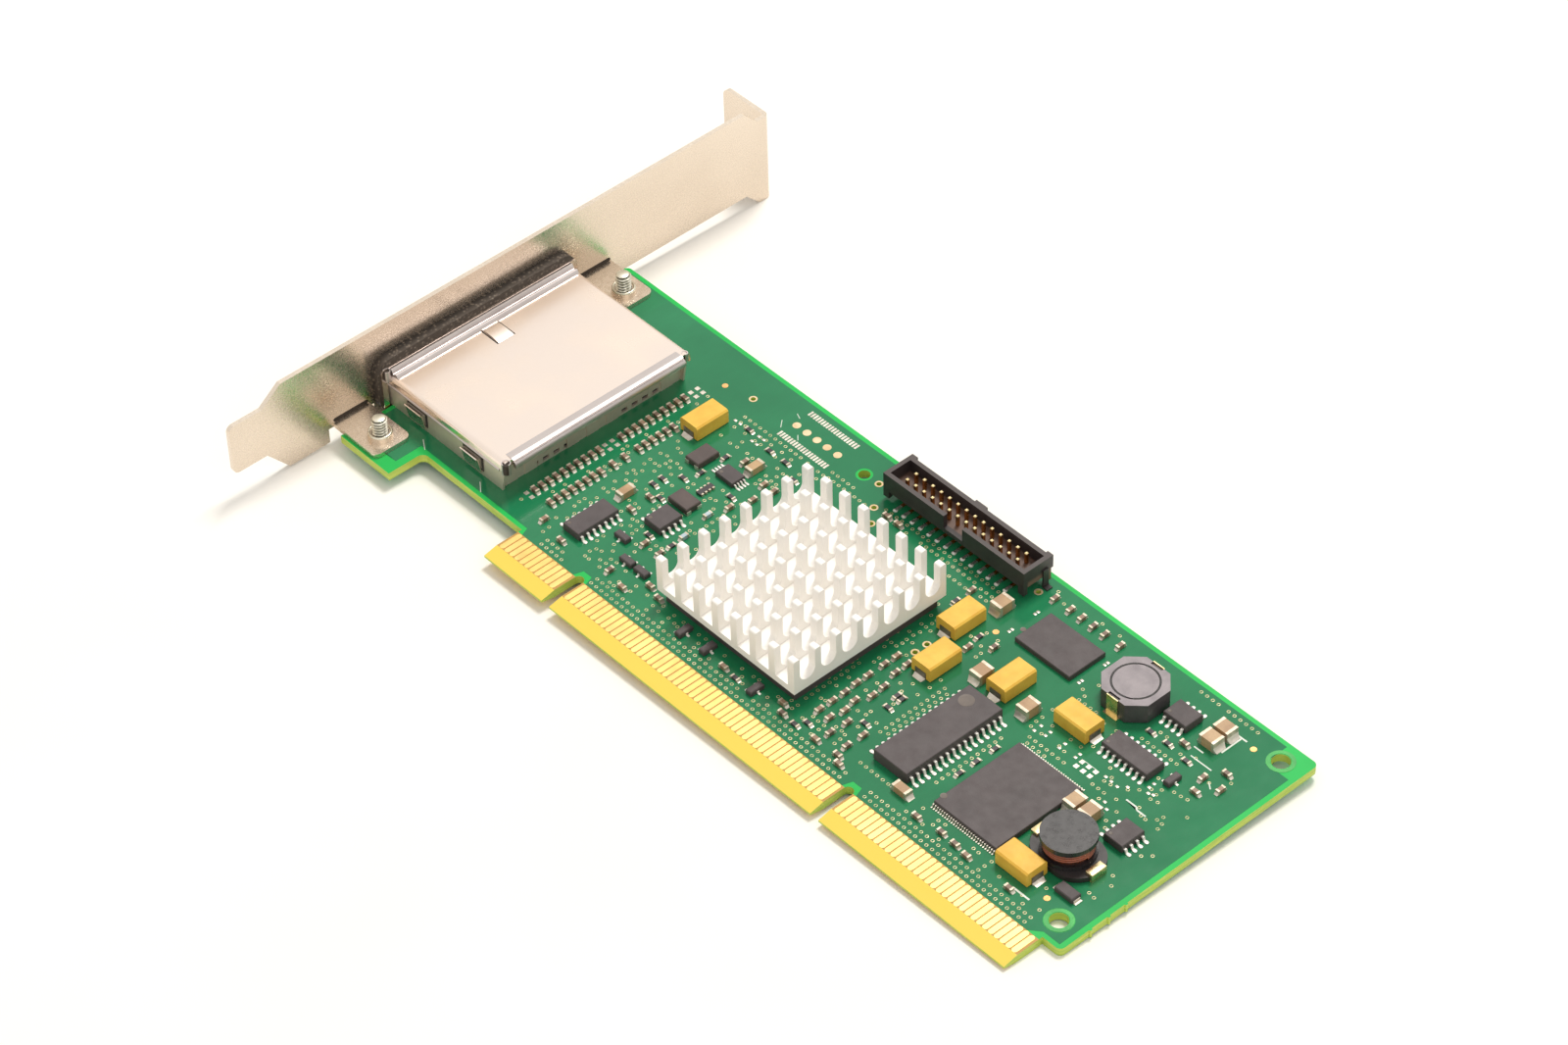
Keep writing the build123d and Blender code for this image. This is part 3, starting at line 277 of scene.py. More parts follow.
ceramic = {
    "shader": {"IOR": 1.55}, "tone": (210, 1.0, 0.4, 0.6), "flecks": (2400, 0.3, (96, 72, 58)),
    "gloss": 900, "rough": (0.3, 0.45), "grain": (3800, 0.01),
}
zonedLooks = {
    # yellow moulding resin, a touch darker in soft clouds
    "tantalum_yellow": {
        "shader": {"IOR": 1.5}, "tone": (320, 4.0, 0.35, 0.75), "ground": ((236, 191, 74), (224, 170, 58)),
        "gloss": 700, "rough": (0.42, 0.56), "grain": (4200, 0.016),
    },
    # fired ceramic: each capacitor has its own brown, and the larger ones are tan
    "capacitor_ceramic": {**ceramic, "ground": ((152, 124, 100), (110, 89, 75))},
    "capacitor_tan": {**ceramic, "ground": ((202, 168, 124), (178, 142, 104))},
    # small holes and test spots are bare and tan; the wide holes keep lacquered copper, yellow-green
    "ring_copper": {
        "shader": {"Metallic": 0.4, "Coat Weight": 0.3}, "tone": (420, 3.0, 0.35, 0.65),
        "ground": ((226, 202, 164), (202, 172, 128)),
        "zones": (("X", "GREATER_THAN", 115, (60, 150, 74), (50, 132, 66)),),
        "gloss": 1800, "rough": (0.34, 0.48), "grain": (5200, 0.01),
    },
    # copper ring seen through thin lacquer
    "via_copper": {
        "shader": {"Metallic": 0.3, "Coat Weight": 0.2, "Coat Roughness": 0.2},
        "tone": (420, 3.0, 0.35, 0.65), "ground": ((216, 198, 158), (164, 158, 112)),
        "gloss": 1800, "rough": (0.28, 0.45), "grain": (5200, 0.01),
    },
    # gold tips inside the shroud, tinned feet that come out below it
    "pin_plating": {
        "shader": {"Metallic": 0.9}, "tone": (900, 3.0, 0.35, 0.65),
        "ground": ((196, 132, 62), (150, 92, 40)),
        "zones": (
            ("Z", "GREATER_THAN", 5.2, (255, 232, 176), (255, 232, 176)),
            ("Y", "LESS_THAN", 57.2, (206, 206, 200), (206, 206, 200)),
        ),
        "rough": (0.24, 0.36), "grain": (5200, 0.004),
    },
    # pressed ferrite, dark on the sides and ground; the paler top is painted light from above
    "shield_ferrite": {
        "shader": {"IOR": 1.6, "Coat Weight": 0.2, "Coat Roughness": 0.2}, "tone": (420, 4.0),
        "ground": ((74, 68, 71), (54, 49, 52)),
        "zones": (("Z", "GREATER_THAN", 3.95, (146, 136, 140), (122, 113, 118)),),
        "rough": (0.34, 0.5), "grain": (4200, 0.02),
    },
    # zinc-bright crests and head, with painted shade darkening the groove between the turns
    "thread_steel": {
        "shader": {"Metallic": 0.85}, "tone": (900, 3.0, 0.35, 0.65),
        "ground": ((232, 228, 214), (206, 202, 184)), "groove": (74, 70, 60),
        "rough": (0.26, 0.38), "grain": (3800, 0.008),
    },
}


def zonedFinish(name, look):
    material, tree, shader = newShader(name, look["shader"])
    tone = cloudSocket(tree, *look["tone"])
    colour = mixSocket(tree, tone, *look["ground"])
    for axis, operation, level, first, second in look.get("zones", ()):
        zone = mixSocket(tree, tone, first, second)
        colour = mixSocket(tree, maskSocket(tree, axis, operation, level), colour, zone)
    if "flecks" in look:
        scale, share, fleck = look["flecks"]
        colour = mixSocket(tree, mathSocket(tree, "MULTIPLY", noiseSocket(tree, scale), share), colour, fleck)
    # painted shade in the thread's groove, read from the shank's per-point attribute
    if "groove" in look:
        depth = addNode(tree, "Attribute", attribute_name="groove").outputs["Fac"]
        colour = mixSocket(tree, depth, colour, look["groove"])
    if "gloss" in look:
        gloss = cloudSocket(tree, look["gloss"], 3.0, 0.3, 0.7, *look["rough"])
    else:
        gloss = rangeSocket(tree, tone, 0.0, 1.0, *look["rough"])
    scale, height = look["grain"]
    dressShader(tree, shader, colour, gloss, noiseSocket(tree, scale), height)
    return material


materials = {name: plainFinish(name, look) for name, look in finishes.items()}
materials.update({name: zonedFinish(name, look) for name, look in zonedLooks.items()})


boardLook = {
    "lacquer": ((38, 131, 86), (28, 114, 74)), "pore": 0.006, "weaveShare": 0.25, "lacquerRough": (0.12, 0.2),
    "bare": ((38, 192, 88), (32, 176, 80)), "laminate": ((202, 214, 98), (168, 196, 84)),
    "gaps": (192, 150, 84), "gapsTo": 7.3, "tip": (240, 210, 92), "tipTo": 2.75, "tongueFrom": -1.5,
    "edgeRough": (0.34, 0.5), "layerHeight": 0.01,
}


def lacquerMaterial():
    look = boardLook
    settings = {"Coat Weight": 0.25, "Coat Roughness": 0.1, "Specular IOR Level": 0.3}
    material, tree, shader = newShader("board_lacquer", settings)
    first, second = look["lacquer"]
    ground = mixSocket(tree, cloudSocket(tree, 42, 4.0), first, second)
    weave = rangeSocket(tree, noiseSocket(tree, 900, 2.0, 0.5, (1, 0.25, 1)), 0.35, 0.65)
    colour = mixSocket(tree, mathSocket(tree, "MULTIPLY", weave, look["weaveShare"]), ground, second)
    gloss = cloudSocket(tree, 300, 3.0, 0.3, 0.7, *look["lacquerRough"])
    dressShader(tree, shader, colour, gloss, noiseSocket(tree, 1500), look["pore"])
    return material


def laminateMaterial():
    # bare lacquer on glass cloth above and below, resin and cloth layers along the cut edge,
    # bright resin at the bevelled tip
    look = boardLook
    material, tree, shader = newShader("board_laminate", {"Specular IOR Level": 0.22, "Coat Weight": 0.06})
    normal = addNode(tree, "SeparateXYZ", {"Vector": addNode(tree, "NewGeometry").outputs["Normal"]})
    rise = mathSocket(tree, "ABSOLUTE", normal.outputs["Z"])
    flat = mathSocket(tree, "GREATER_THAN", rise, 0.99)
    upright = mathSocket(tree, "LESS_THAN", rise, 0.2)
    layers = noiseSocket(tree, 500, 3.0, 0.6, (0.3, 0.3, 5))
    edge = mixSocket(tree, rangeSocket(tree, layers, 0.35, 0.65), *look["laminate"])
    faces = mixSocket(tree, cloudSocket(tree, 60), *look["bare"])
    inTongue = maskSocket(tree, "X", "GREATER_THAN", look["tongueFrom"])
    for level, tone in ((look["gapsTo"], look["gaps"]), (look["tipTo"], look["tip"])):
        field = mathSocket(tree, "MULTIPLY", maskSocket(tree, "Y", "LESS_THAN", level), inTongue)
        faces = mixSocket(tree, field, faces, tone)
    colour = mixSocket(tree, upright, mixSocket(tree, flat, look["tip"], faces), edge)
    gloss = rangeSocket(tree, layers, 0.3, 0.7, *look["edgeRough"])
    dressShader(tree, shader, colour, gloss, layers, look["layerHeight"])
    return material


materials["board"] = laminateMaterial()
materials["lacquer"] = lacquerMaterial()


bracketLook = {
    "plate": ((231, 218, 203), (217, 203, 187)), "metal": 0.94, "rough": (0.2, 0.33),
    "cloud": 26, "spangle": 1700, "spangleHeight": 0.02,
}


def bracketMaterial():
    # nickel over rolled steel: fine spangle, soft broad reflections
    look = bracketLook
    material, tree, shader = newShader("bracket_nickel", {"Metallic": look["metal"]})
    colour = mixSocket(tree, cloudSocket(tree, look["cloud"]), *look["plate"])
    spangle = noiseSocket(tree, look["spangle"], 4.0, 0.7)
    gloss = rangeSocket(tree, spangle, 0.3, 0.7, *look["rough"])
    dressShader(tree, shader, colour, gloss, spangle, look["spangleHeight"])
    return material


materials["bracket_plate"] = bracketMaterial()


cageLooks = {
    "cage_plate": {"tones": ((244, 230, 221), (238, 222, 209)), "rough": (0.22, 0.3), "metal": 1.0},
    # walls and rolled edges: the cover's tin plate made darker, painted shade
    "cage_walls_shaded": {"tones": ((220, 206, 190), (190, 176, 160)), "rough": (0.38, 0.5), "metal": 0.6},
    "cage_rolled_shaded": {"tones": ((198, 190, 188), (176, 168, 166)), "rough": (0.36, 0.46), "metal": 1.0},
}


def cageMaterial(name, look):
    # bright tin plate with rolling lines along the card and a few finger smudges; the walls and rolled edges
    # use darker copies of it as painted shade
    material, tree, shader = newShader(name, {"Metallic": look["metal"]})
    smudge = rangeSocket(tree, noiseSocket(tree, 70, 5.0, 0.6), 0.42, 0.72)
    colour = mixSocket(tree, smudge, *look["tones"])
    gloss = rangeSocket(tree, smudge, 0.0, 1.0, *look["rough"])
    dressShader(tree, shader, colour, gloss, noiseSocket(tree, 900, 3.0, 0.5, (0.1, 1, 1)), 0.001)
    return material


materials.update({name: cageMaterial(name, look) for name, look in cageLooks.items()})


clothLook = {
    "cloth": ((48, 40, 34), (34, 28, 24)), "litTone": (72, 63, 55), "shadeToLight": (-41.6, -40.6),
    "sparkle": (176, 160, 144), "sparkleShare": 0.35, "threads": 1500, "threadHeight": 0.05,
    "rough": (0.35, 0.7),
}


def gasketMaterial():
    # conductive cloth over foam: darker at the bracket as painted shade, paler further out as painted light,
    # and pale specks as painted glints off the metal threads
    look = clothLook
    material, tree, shader = newShader("gasket_cloth", {"Metallic": 0.2})
    spots = {"Vector": placeSocket(tree), "Scale": look["threads"]}
    threads = addNode(tree, "TexVoronoi", spots).outputs["Distance"]
    mottle = mixSocket(tree, cloudSocket(tree, 300), *look["cloth"])
    # darker at the bracket as painted shade, paler further out as painted light
    ground = mixSocket(tree, fadeSocket(tree, "X", *look["shadeToLight"]), mottle, look["litTone"])
    # pale specks: painted glints off the metal threads
    bright = rangeSocket(tree, threads, 0.05, 0.4, look["sparkleShare"], 0.0)
    colour = mixSocket(tree, bright, ground, look["sparkle"])
    gloss = rangeSocket(tree, threads, 0.0, 0.6, *look["rough"])
    dressShader(tree, shader, colour, gloss, threads, look["threadHeight"])
    return material


materials["gasket_foam"] = gasketMaterial()


shroudLook = {
    "wall": ((54, 48, 48), (44, 38, 39)), "rim": (68, 59, 58), "rimFrom": 5.75, "rough": (0.36, 0.5),
    "floor": (112, 86, 74), "floorFade": (3.0, 3.6), "insideFade": (57.3, 57.5),
}


def shroudMaterial():
    # dark moulded plastic, paler on the rim, brown where the light falls in between the pins
    look = shroudLook
    material, tree, shader = newShader("shroud_plastic", {"IOR": 1.5})
    tone = cloudSocket(tree, 260)
    wall = mixSocket(tree, tone, *look["wall"])
    inside = mixSocket(tree, fadeSocket(tree, "Z", *look["floorFade"]), look["floor"], wall)
    inside = mixSocket(tree, fadeSocket(tree, "Y", *look["insideFade"]), wall, inside)
    colour = mixSocket(tree, maskSocket(tree, "Z", "GREATER_THAN", look["rimFrom"]), inside, look["rim"])
    gloss = rangeSocket(tree, tone, 0.0, 1.0, *look["rough"])
    dressShader(tree, shader, colour, gloss, noiseSocket(tree, 5200), 0.012)
    return material


materials["shroud_plastic"] = shroudMaterial()


wireLook = {"enamel": ((150, 74, 40), (104, 46, 26)), "rough": (0.25, 0.4), "grain": 2400, "height": 0.006}


def wireMaterial():
    # enamelled copper wire, turn beside turn
    look = wireLook
    settings = {"Metallic": 0.7, "Coat Weight": 0.8, "Coat Roughness": 0.1}
    material, tree, shader = newShader("enamelled_wire", settings)
    along = rangeSocket(tree, noiseSocket(tree, 420, 3.0, 0.5, (1, 1, 6)), 0.3, 0.7)
    colour = mixSocket(tree, along, *look["enamel"])
    gloss = rangeSocket(tree, along, 0.0, 1.0, *look["rough"])
    dressShader(tree, shader, colour, gloss, noiseSocket(tree, look["grain"]), look["height"])
    return material


materials["copper_wire"] = wireMaterial()

# Pieces whose finish isn't their slot's own
nodeFinishes = {
    "plated_rings": "ring_copper",
    "header_pins": "pin_plating",
    "header_shell": "shroud_plastic",
    "shielded_inductor": "shield_ferrite",
    "drum_inductor_spool": "drum_ferrite",
    "large_capacitor_bodies": "capacitor_tan",
    "medium_capacitor_bodies": "capacitor_tan",
    "port_cage_base": "cage_walls_shaded",
    # the tantalum strips take a darker tin: painted shade
    "tantalum_terminals": "strip_tin_shaded",
    "static_memory_leads": "lead_tin",
    "small_outline_leads": "lead_tin",
    "thin_eight_lead_leads": "lead_tin",
    "transistor_leads": "lead_tin",
}

for subpart in frame["record"]["subparts"]:
    nodeName = subpart["node"]
    finish = nodeFinishes.get(nodeName, subpart["material_slot"])
    if nodeName.endswith("_ends"):
        finish = "cap_tin"
    nodes[nodeName].data.materials.clear()
    nodes[nodeName].data.materials.append(materials[finish])
print("finishes set:", len(materials))


# The floor: the card lies on its bracket's end, a screw head and its far lower corner

floorLook = {
    "feet": ((-42.2, 97.5, -5.88), (screwX, screwRows[0], -3.49), (farEnd, shoulder, -1.6)),
    "half": 1.6, "cuts": 24, "tones": ((250, 248, 244), (246, 243, 238)), "cloud": 9,
}


def addFloor():
    look = floorLook
    first, second, third = (at(*foot) for foot in look["feet"])
    upward = (second - first).cross(third - first).normalized()
    if upward.z < 0:
        upward = -upward
    bpy.ops.mesh.primitive_grid_add(
        x_subdivisions=look["cuts"], y_subdivisions=look["cuts"], size=2 * look["half"]
    )
    floor = bpy.context.object
    floor.name = "floor"
    turn = Vector((0, 0, 1)).rotation_difference(upward)
    middle = first + (second - first) * 0.5
    floor.data.transform(Matrix.Translation(middle) @ turn.to_matrix().to_4x4())
    material, tree, shader = newShader("floor_paper", {"Roughness": 0.85, "Specular IOR Level": 0.2})
    colour = mixSocket(tree, cloudSocket(tree, look["cloud"]), *look["tones"])
    tree.links.new(colour, shader.inputs["Base Color"])
    floor.data.materials.append(material)


clearSelection()
addFloor()

lampLooks = {
    "skyStrength": 0.62,
    "skyColour": (255, 252, 246),
    "key": {"place": (-0.2, 0.54, 1.2), "size": 0.36, "power": 11.5, "tint": (1.0, 0.97, 0.92)},
    "fill": {"place": (0.75, -0.35, 0.8), "size": 0.9, "power": 1.6, "tint": (1.0, 0.98, 0.95)},
}


def addLights():
    world = bpy.data.worlds.new("pale_room")
    bpy.context.scene.world = world
    world.use_nodes = True
    tree = world.node_tree
    background = tree.nodes["Background"]
    background.inputs["Color"].default_value = paint(*lampLooks["skyColour"])
    rays = addNode(tree, "LightPath").outputs
    seen = mathSocket(tree, "MAXIMUM", rays["Is Camera Ray"], rays["Is Glossy Ray"])
    seen = mathSocket(tree, "MAXIMUM", seen, rays["Is Transmission Ray"])
    strength = rangeSocket(tree, seen, 0.0, 1.0, lampLooks["skyStrength"], 1.0)
    tree.links.new(strength, background.inputs["Strength"])
    for name in ("key", "fill"):
        look = lampLooks[name]
        data = bpy.data.lights.new(name, "AREA")
        data.size = look["size"]
        data.energy = look["power"]
        data.color = look["tint"]
        lamp = bpy.data.objects.new(name, data)
        bpy.context.scene.collection.objects.link(lamp)
        lamp.location = look["place"]
        lamp.rotation_euler = (-Vector(look["place"])).to_track_quat("-Z", "Y").to_euler()


addLights()

cameraLook = {
    "place": (0.424645, -0.3755, 0.54746), "aim": (-0.00862, 0.00022, 0.00586), "roll": -1.6716,
    "lens": 110.0, "sensor": 36.0, "nearest": 0.01,
}


def addCamera():
    data = bpy.data.cameras.new("camera")
    data.lens = cameraLook["lens"]
    data.sensor_width = cameraLook["sensor"]
    data.clip_start = cameraLook["nearest"]
    camera = bpy.data.objects.new("camera", data)
    bpy.context.scene.collection.objects.link(camera)
    camera.location = cameraLook["place"]
    towards = Vector(cameraLook["aim"]) - camera.location
    turn = towards.to_track_quat("-Z", "Y").to_matrix().to_4x4()
    turn = turn @ Matrix.Rotation(math.radians(cameraLook["roll"]), 4, "Z")
    camera.rotation_euler = turn.to_euler()
    bpy.context.scene.camera = camera


addCamera()
bpy.context.scene.view_settings.view_transform = "Standard"
print("stage set")


# Helpers for the modelled pieces; sizes are in millimetres where they say nothing else

weldGap = 0.0000005


def placed():
    # the new primitive, with its place and size in its mesh
    bpy.ops.object.transform_apply(location=True, rotation=True, scale=True)
    return bpy.context.object


def closeMesh(piece):
    # merges doubled points and turns the faces outward
    pick(piece)
    bpy.ops.object.mode_set(mode="EDIT")
    bpy.ops.mesh.select_all(action="SELECT")
    bpy.ops.mesh.remove_doubles(threshold=weldGap)
    bpy.ops.mesh.normals_make_consistent(inside=False)
    bpy.ops.object.mode_set(mode="OBJECT")


def finishPiece(piece, name, finish, angle=35):
    # closes a piece, gives it its finish and hangs it on the card
    pick(piece)
    placed()
    closeMesh(piece)
    bpy.ops.object.shade_smooth_by_angle(angle=math.radians(angle))
    piece.name = name
    piece.data.name = name
    piece.data.materials.clear()
    piece.data.materials.append(materials[finish])
    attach(piece, "root")


def joinPieces(pieces):
    clearSelection()
    for piece in pieces:
        piece.select_set(True)
    bpy.context.view_layer.objects.active = pieces[0]
    bpy.ops.object.join()
    return bpy.context.object


def standing(x, y, z=0.0, turn=0):
    # a place on the card, turned about its upright
    return Matrix.Translation(at(x, y, z)) @ Matrix.Rotation(math.radians(turn), 4, "Z")


def repeatPiece(model, places):
    # a copy of one model at each place, joined to one piece
    copies = []
    for place in places:
        copy = model.copy()
        copy.data = model.data.copy()
        copy.data.transform(place)
        bpy.context.scene.collection.objects.link(copy)
        copies.append(copy)
    bpy.data.objects.remove(model)
    return joinPieces(copies)


def addBlock(size=(1, 1, 1), middle=(0, 0, 0)):
    # size and middle in metres
    clearSelection()
    bpy.ops.mesh.primitive_cube_add(size=1, location=middle, scale=size)
    return placed()


def cutBlock(middle, cuts):
    # a block of one metre with each side cut up, to be shaped and then shrunk
    block = addBlock(middle=middle)
    bpy.ops.object.mode_set(mode="EDIT")
    bpy.ops.mesh.subdivide(number_cuts=cuts)
    bpy.ops.object.mode_set(mode="OBJECT")
    return block


def roundEdges(width, segments):
    bpy.ops.object.mode_set(mode="EDIT")
    bpy.ops.mesh.bevel(offset=width * mm, segments=segments)
    bpy.ops.object.mode_set(mode="OBJECT")


def addDrum(radius, low, high, sides):
    # an upright cylinder over the origin
    clearSelection()
    bpy.ops.mesh.primitive_cylinder_add(
        vertices=sides, radius=radius * mm, depth=(high - low) * mm, location=(0, 0, (low + high) / 2 * mm)
    )
    return placed()


def addRing(radius, wire, flat, sides, wireSides):
    # a ring of round wire, made taller or flatter by flat
    clearSelection()
    bpy.ops.mesh.primitive_torus_add(
        major_radius=radius * mm, minor_radius=wire * mm, major_segments=sides, minor_segments=wireSides
    )
    bpy.context.object.scale.z = flat
    return placed()


def selectTop(piece):
    # enters edit mode with only the upward faces selected
    bpy.ops.object.mode_set(mode="EDIT")
    bpy.ops.mesh.select_all(action="DESELECT")
    bpy.ops.object.mode_set(mode="OBJECT")
    for face in piece.data.polygons:
        face.select = face.normal.z > 0.9
    bpy.ops.object.mode_set(mode="EDIT")


def arc(x, y, radius, start, turn, count):
    # points on a circle, in count steps from start over turn, both in degrees
    turns = [math.radians(start + turn * step / count) for step in range(count + 1)]
    return [(x + radius * math.cos(bend), y + radius * math.sin(bend)) for bend in turns]


def ringOutline(x, y, radius, sides=20, start=0):
    return arc(x, y, radius, start, 360, sides)[:-1]


def bandOutline(x, y, outer, inner, start, turn, count):
    return arc(x, y, outer, start, turn, count) + arc(x, y, inner, start, turn, count)[::-1]


def roundedOutline(left, right, low, high, corner, steps=6):
    return (
        arc(right - corner, high - corner, corner, 0, 90, steps)
        + arc(left + corner, high - corner, corner, 90, 90, steps)
        + arc(left + corner, low + corner, corner, 180, 90, steps)
        + arc(right - corner, low + corner, corner, 270, 90, steps)
    )


def flatPiece(outlines, bottom, top):
    # a thin sheet with straight walls from closed outlines; inner outlines are holes
    data = bpy.data.curves.new("outline", "CURVE")
    data.dimensions = "2D"
    data.fill_mode = "BOTH"
    data.extrude = (top - bottom) / 2 * mm
    for outline in outlines:
        spline = data.splines.new("POLY")
        spline.points.add(len(outline) - 1)
        for point, (x, y) in zip(spline.points, outline):
            place = at(x, y)
            point.co = (place.x, place.y, 0, 1)
        spline.use_cyclic_u = True
    sheet = bpy.data.objects.new("outline", data)
    bpy.context.scene.collection.objects.link(sheet)
    pick(sheet)
    bpy.ops.object.convert(target="MESH")
    sheet = bpy.context.object
    sheet.location.z = at(0, 0, (top + bottom) / 2).z
    return sheet


def wallPiece(outlines, low, high):
    # outlines of (y, z) points, upright across the card from x low to x high
    half = (high - low) / 2
    sheet = flatPiece(outlines, -half, half)
    sheet.location = (0, 0, 0)
    # the flat sheet's x and y are the wall's y and z
    turn = Matrix(((0, 0, 1), (1, 0, 0), (0, 1, 0))).to_4x4()
    sheet.data.transform(Matrix.Translation(-Vector((cardZero.x, cardZero.y, 0))))
    sheet.data.transform(Matrix.Translation(at(low + half, 0)) @ turn)
    return sheet


def barPiece(section, start, end, along):
    # a closed section of (across, z) points, drawn out along x or y
    if along == "y":
        corners = [at(x, start, z) for x, z in section]
        step = (0, (end - start) * mm, 0)
    else:
        corners = [at(start, y, z) for y, z in section]
        step = ((end - start) * mm, 0, 0)
    data = bpy.data.meshes.new("bar")
    data.from_pydata(corners, [], [tuple(range(len(corners)))])
    bar = bpy.data.objects.new("bar", data)
    bpy.context.scene.collection.objects.link(bar)
    pick(bar)
    bpy.ops.object.mode_set(mode="EDIT")
    bpy.ops.mesh.select_all(action="SELECT")
    bpy.ops.mesh.extrude_region_move(TRANSFORM_OT_translate={"value": step})
    bpy.ops.object.mode_set(mode="OBJECT")
    return bar


def barRow(section, middles, half, along):
    return [barPiece(section, middle - half, middle + half, along) for middle in middles]


# Copper fields under the lacquer, on both sides

fieldLook = {
    "border": 0.85, "farBorder": 1.0, "thickness": 0.02, "bottom": 7.32, "ear": (-28.3, 3.4),
    "tongueStart": (-0.55, 0.05), "tongueEnd": (119.0, 121.0), "corner": (119.4, 58.6),
    "notches": (13.0, 77.8), "notchWidth": 3.2, "notchSlope": 0.6, "notchRise": 0.2,
    "wideHoles": ((120.94, 12.2, 2.5), (28.0, 58.11, 1.5)), "screwHole": 1.9, "testHole": 0.6,
    "tests": ((1.3, 57.2), (31.4, 58.3), (35.0, 53.8), (37.5, 50.8), (64.3, 38.2), (64.3, 35.6),
              (67.9, 59.6)),
}


def fieldOutlines():
    look = fieldLook
    left = boardLeft + look["border"]
    right = farEnd - look["farBorder"]
    low = shoulder + look["border"]
    bottom = look["bottom"]
    top = boardTop - look["border"]
    earX, earY = look["ear"]
    outer = [(left, earY), (earX, earY), (earX, low)]
    outer += [(look["tongueStart"][0], low), (look["tongueStart"][1], bottom)]
    slope = look["notchSlope"]
    for start in look["notches"]:
        end = start + look["notchWidth"]
        level = low + look["notchRise"]
        outer += [(start, bottom), (start + slope, level), (end - slope, level), (end, bottom)]
    cornerX, cornerY = look["corner"]
    outer += [(look["tongueEnd"][0], bottom), (look["tongueEnd"][1], low), (right, low)]
    outer += [(right, cornerY), (cornerX, cornerY), (cornerX, top), (left, top)]
    holes = [ringOutline(*hole) for hole in look["wideHoles"]]
    holes += [ringOutline(x, y, look["testHole"], 12) for x, y in look["tests"]]
    holes += [ringOutline(screwX, y, look["screwHole"]) for y in screwRows]
    return [outer] + holes


def addCopperFields():
    thick = fieldLook["thickness"]
    finishPiece(flatPiece(fieldOutlines(), 0.0, thick), "copper_field_top", "lacquer")
    below = flatPiece(fieldOutlines(), underside - thick, underside)
    finishPiece(below, "copper_field_bottom", "lacquer")


addCopperFields()
print("copper fields made")


# Where the small parts stand: each loose solid of a node as its own box, in card millimetres


def solidBoxes(nodeName):
    mesh = bmesh.new()
    mesh.from_mesh(nodes[nodeName].data)
    bmesh.ops.remove_doubles(mesh, verts=mesh.verts, dist=0.000001)
    seen = set()
    boxes = []
    for vertex in mesh.verts:
        if vertex in seen:
            continue
        seen.add(vertex)
        queue = [vertex]
        places = []
        while queue:
            current = queue.pop()
            places.append((current.co - cardZero) / mm)
            for edge in current.link_edges:
                other = edge.other_vert(current)
                if other not in seen:
                    seen.add(other)
                    queue.append(other)
        low = [min(place[axis] for place in places) for axis in range(3)]
        high = [max(place[axis] for place in places) for axis in range(3)]
        boxes.append((low, high))
    mesh.free()
    return boxes


groundNodes = ("circuit_board", "edge_contacts_top", "edge_contacts_bottom", "mounting_bracket")
partBoxes = {name: solidBoxes(name) for name in nodes if name not in groundNodes}
print("small parts found:", sum(len(boxes) for boxes in partBoxes.values()))


# Plated vias: two rows behind the contacts, fields beside the chips, loose ones between parts

viaLook = {
    "radius": 0.265, "wire": 0.066, "flat": 0.4, "clearance": 0.3, "spacing": 0.85, "covered": 0.7,
    "pitch": 1.27, "scatter": 0.22, "seed": 11,
    "rows": (
        (16.5, 8.2, 48), (16.5, 9.5, 48), (82.0, 8.2, 29), (82.0, 9.5, 29), (3.9, 9.5, 4), (3.9, 8.2, 5),
        (3.7, 53.2, 12), (24.0, 54.6, 5), (24.5, 53.2, 8), (35.5, 54.9, 25), (38.0, 53.5, 5),
        (46.5, 53.6, 11), (61.0, 53.3, 3), (61.0, 52.0, 3), (76.2, 12.7, 7), (90.3, 35.8, 14),
        (91.0, 34.6, 4), (101.3, 48.4, 8), (89.8, 48.4, 4), (89.8, 47.2, 4), (101.8, 62.5, 4),
        (107.8, 62.5, 6), (18.6, 9.0, 3), (54.0, 51.6, 5),
    ),
    "columns": (
        (73.4, 19.5, 12), (74.6, 20.1, 11), (87.4, 18.4, 12), (19.3, 28.2, 10), (10.2, 27.0, 8),
        (59.9, 16.0, 10),
    ),
    "fields": (
        ((0.6, 22.4), (10.4, 49.6), 0.42), ((58.8, 72.6), (11.4, 47.4), 0.4),
        ((88.6, 120.0), (36.4, 51.8), 0.3), ((22.5, 58.0), (10.6, 13.4), 0.5),
        ((-9.4, -0.6), (12.6, 53.2), 0.35), ((106.0, 121.5), (10.4, 35.0), 0.16),
        ((70.0, 88.0), (59.4, 62.6), 0.3), ((3.0, 24.0), (50.4, 53.0), 0.5),
        ((88.6, 106.0), (10.6, 13.2), 0.4),
    ),
}


def wantedVias():
    look = viaLook
    pitch, scatter = look["pitch"], look["scatter"]
    wanted = [(x + step * pitch, y) for x, y, count in look["rows"] for step in range(count)]
    wanted += [(x, y + step * pitch) for x, y, count in look["columns"] for step in range(count)]
    dice = random.Random(look["seed"])
    for (left, right), (low, high), share in look["fields"]:
        for column in range(int((right - left) / pitch) + 1):
            for row in range(int((high - low) / pitch) + 1):
                shift = (dice.uniform(-scatter, scatter), dice.uniform(-scatter, scatter))
                if dice.random() < share:
                    wanted.append((left + column * pitch + shift[0], low + row * pitch + shift[1]))
    return wanted


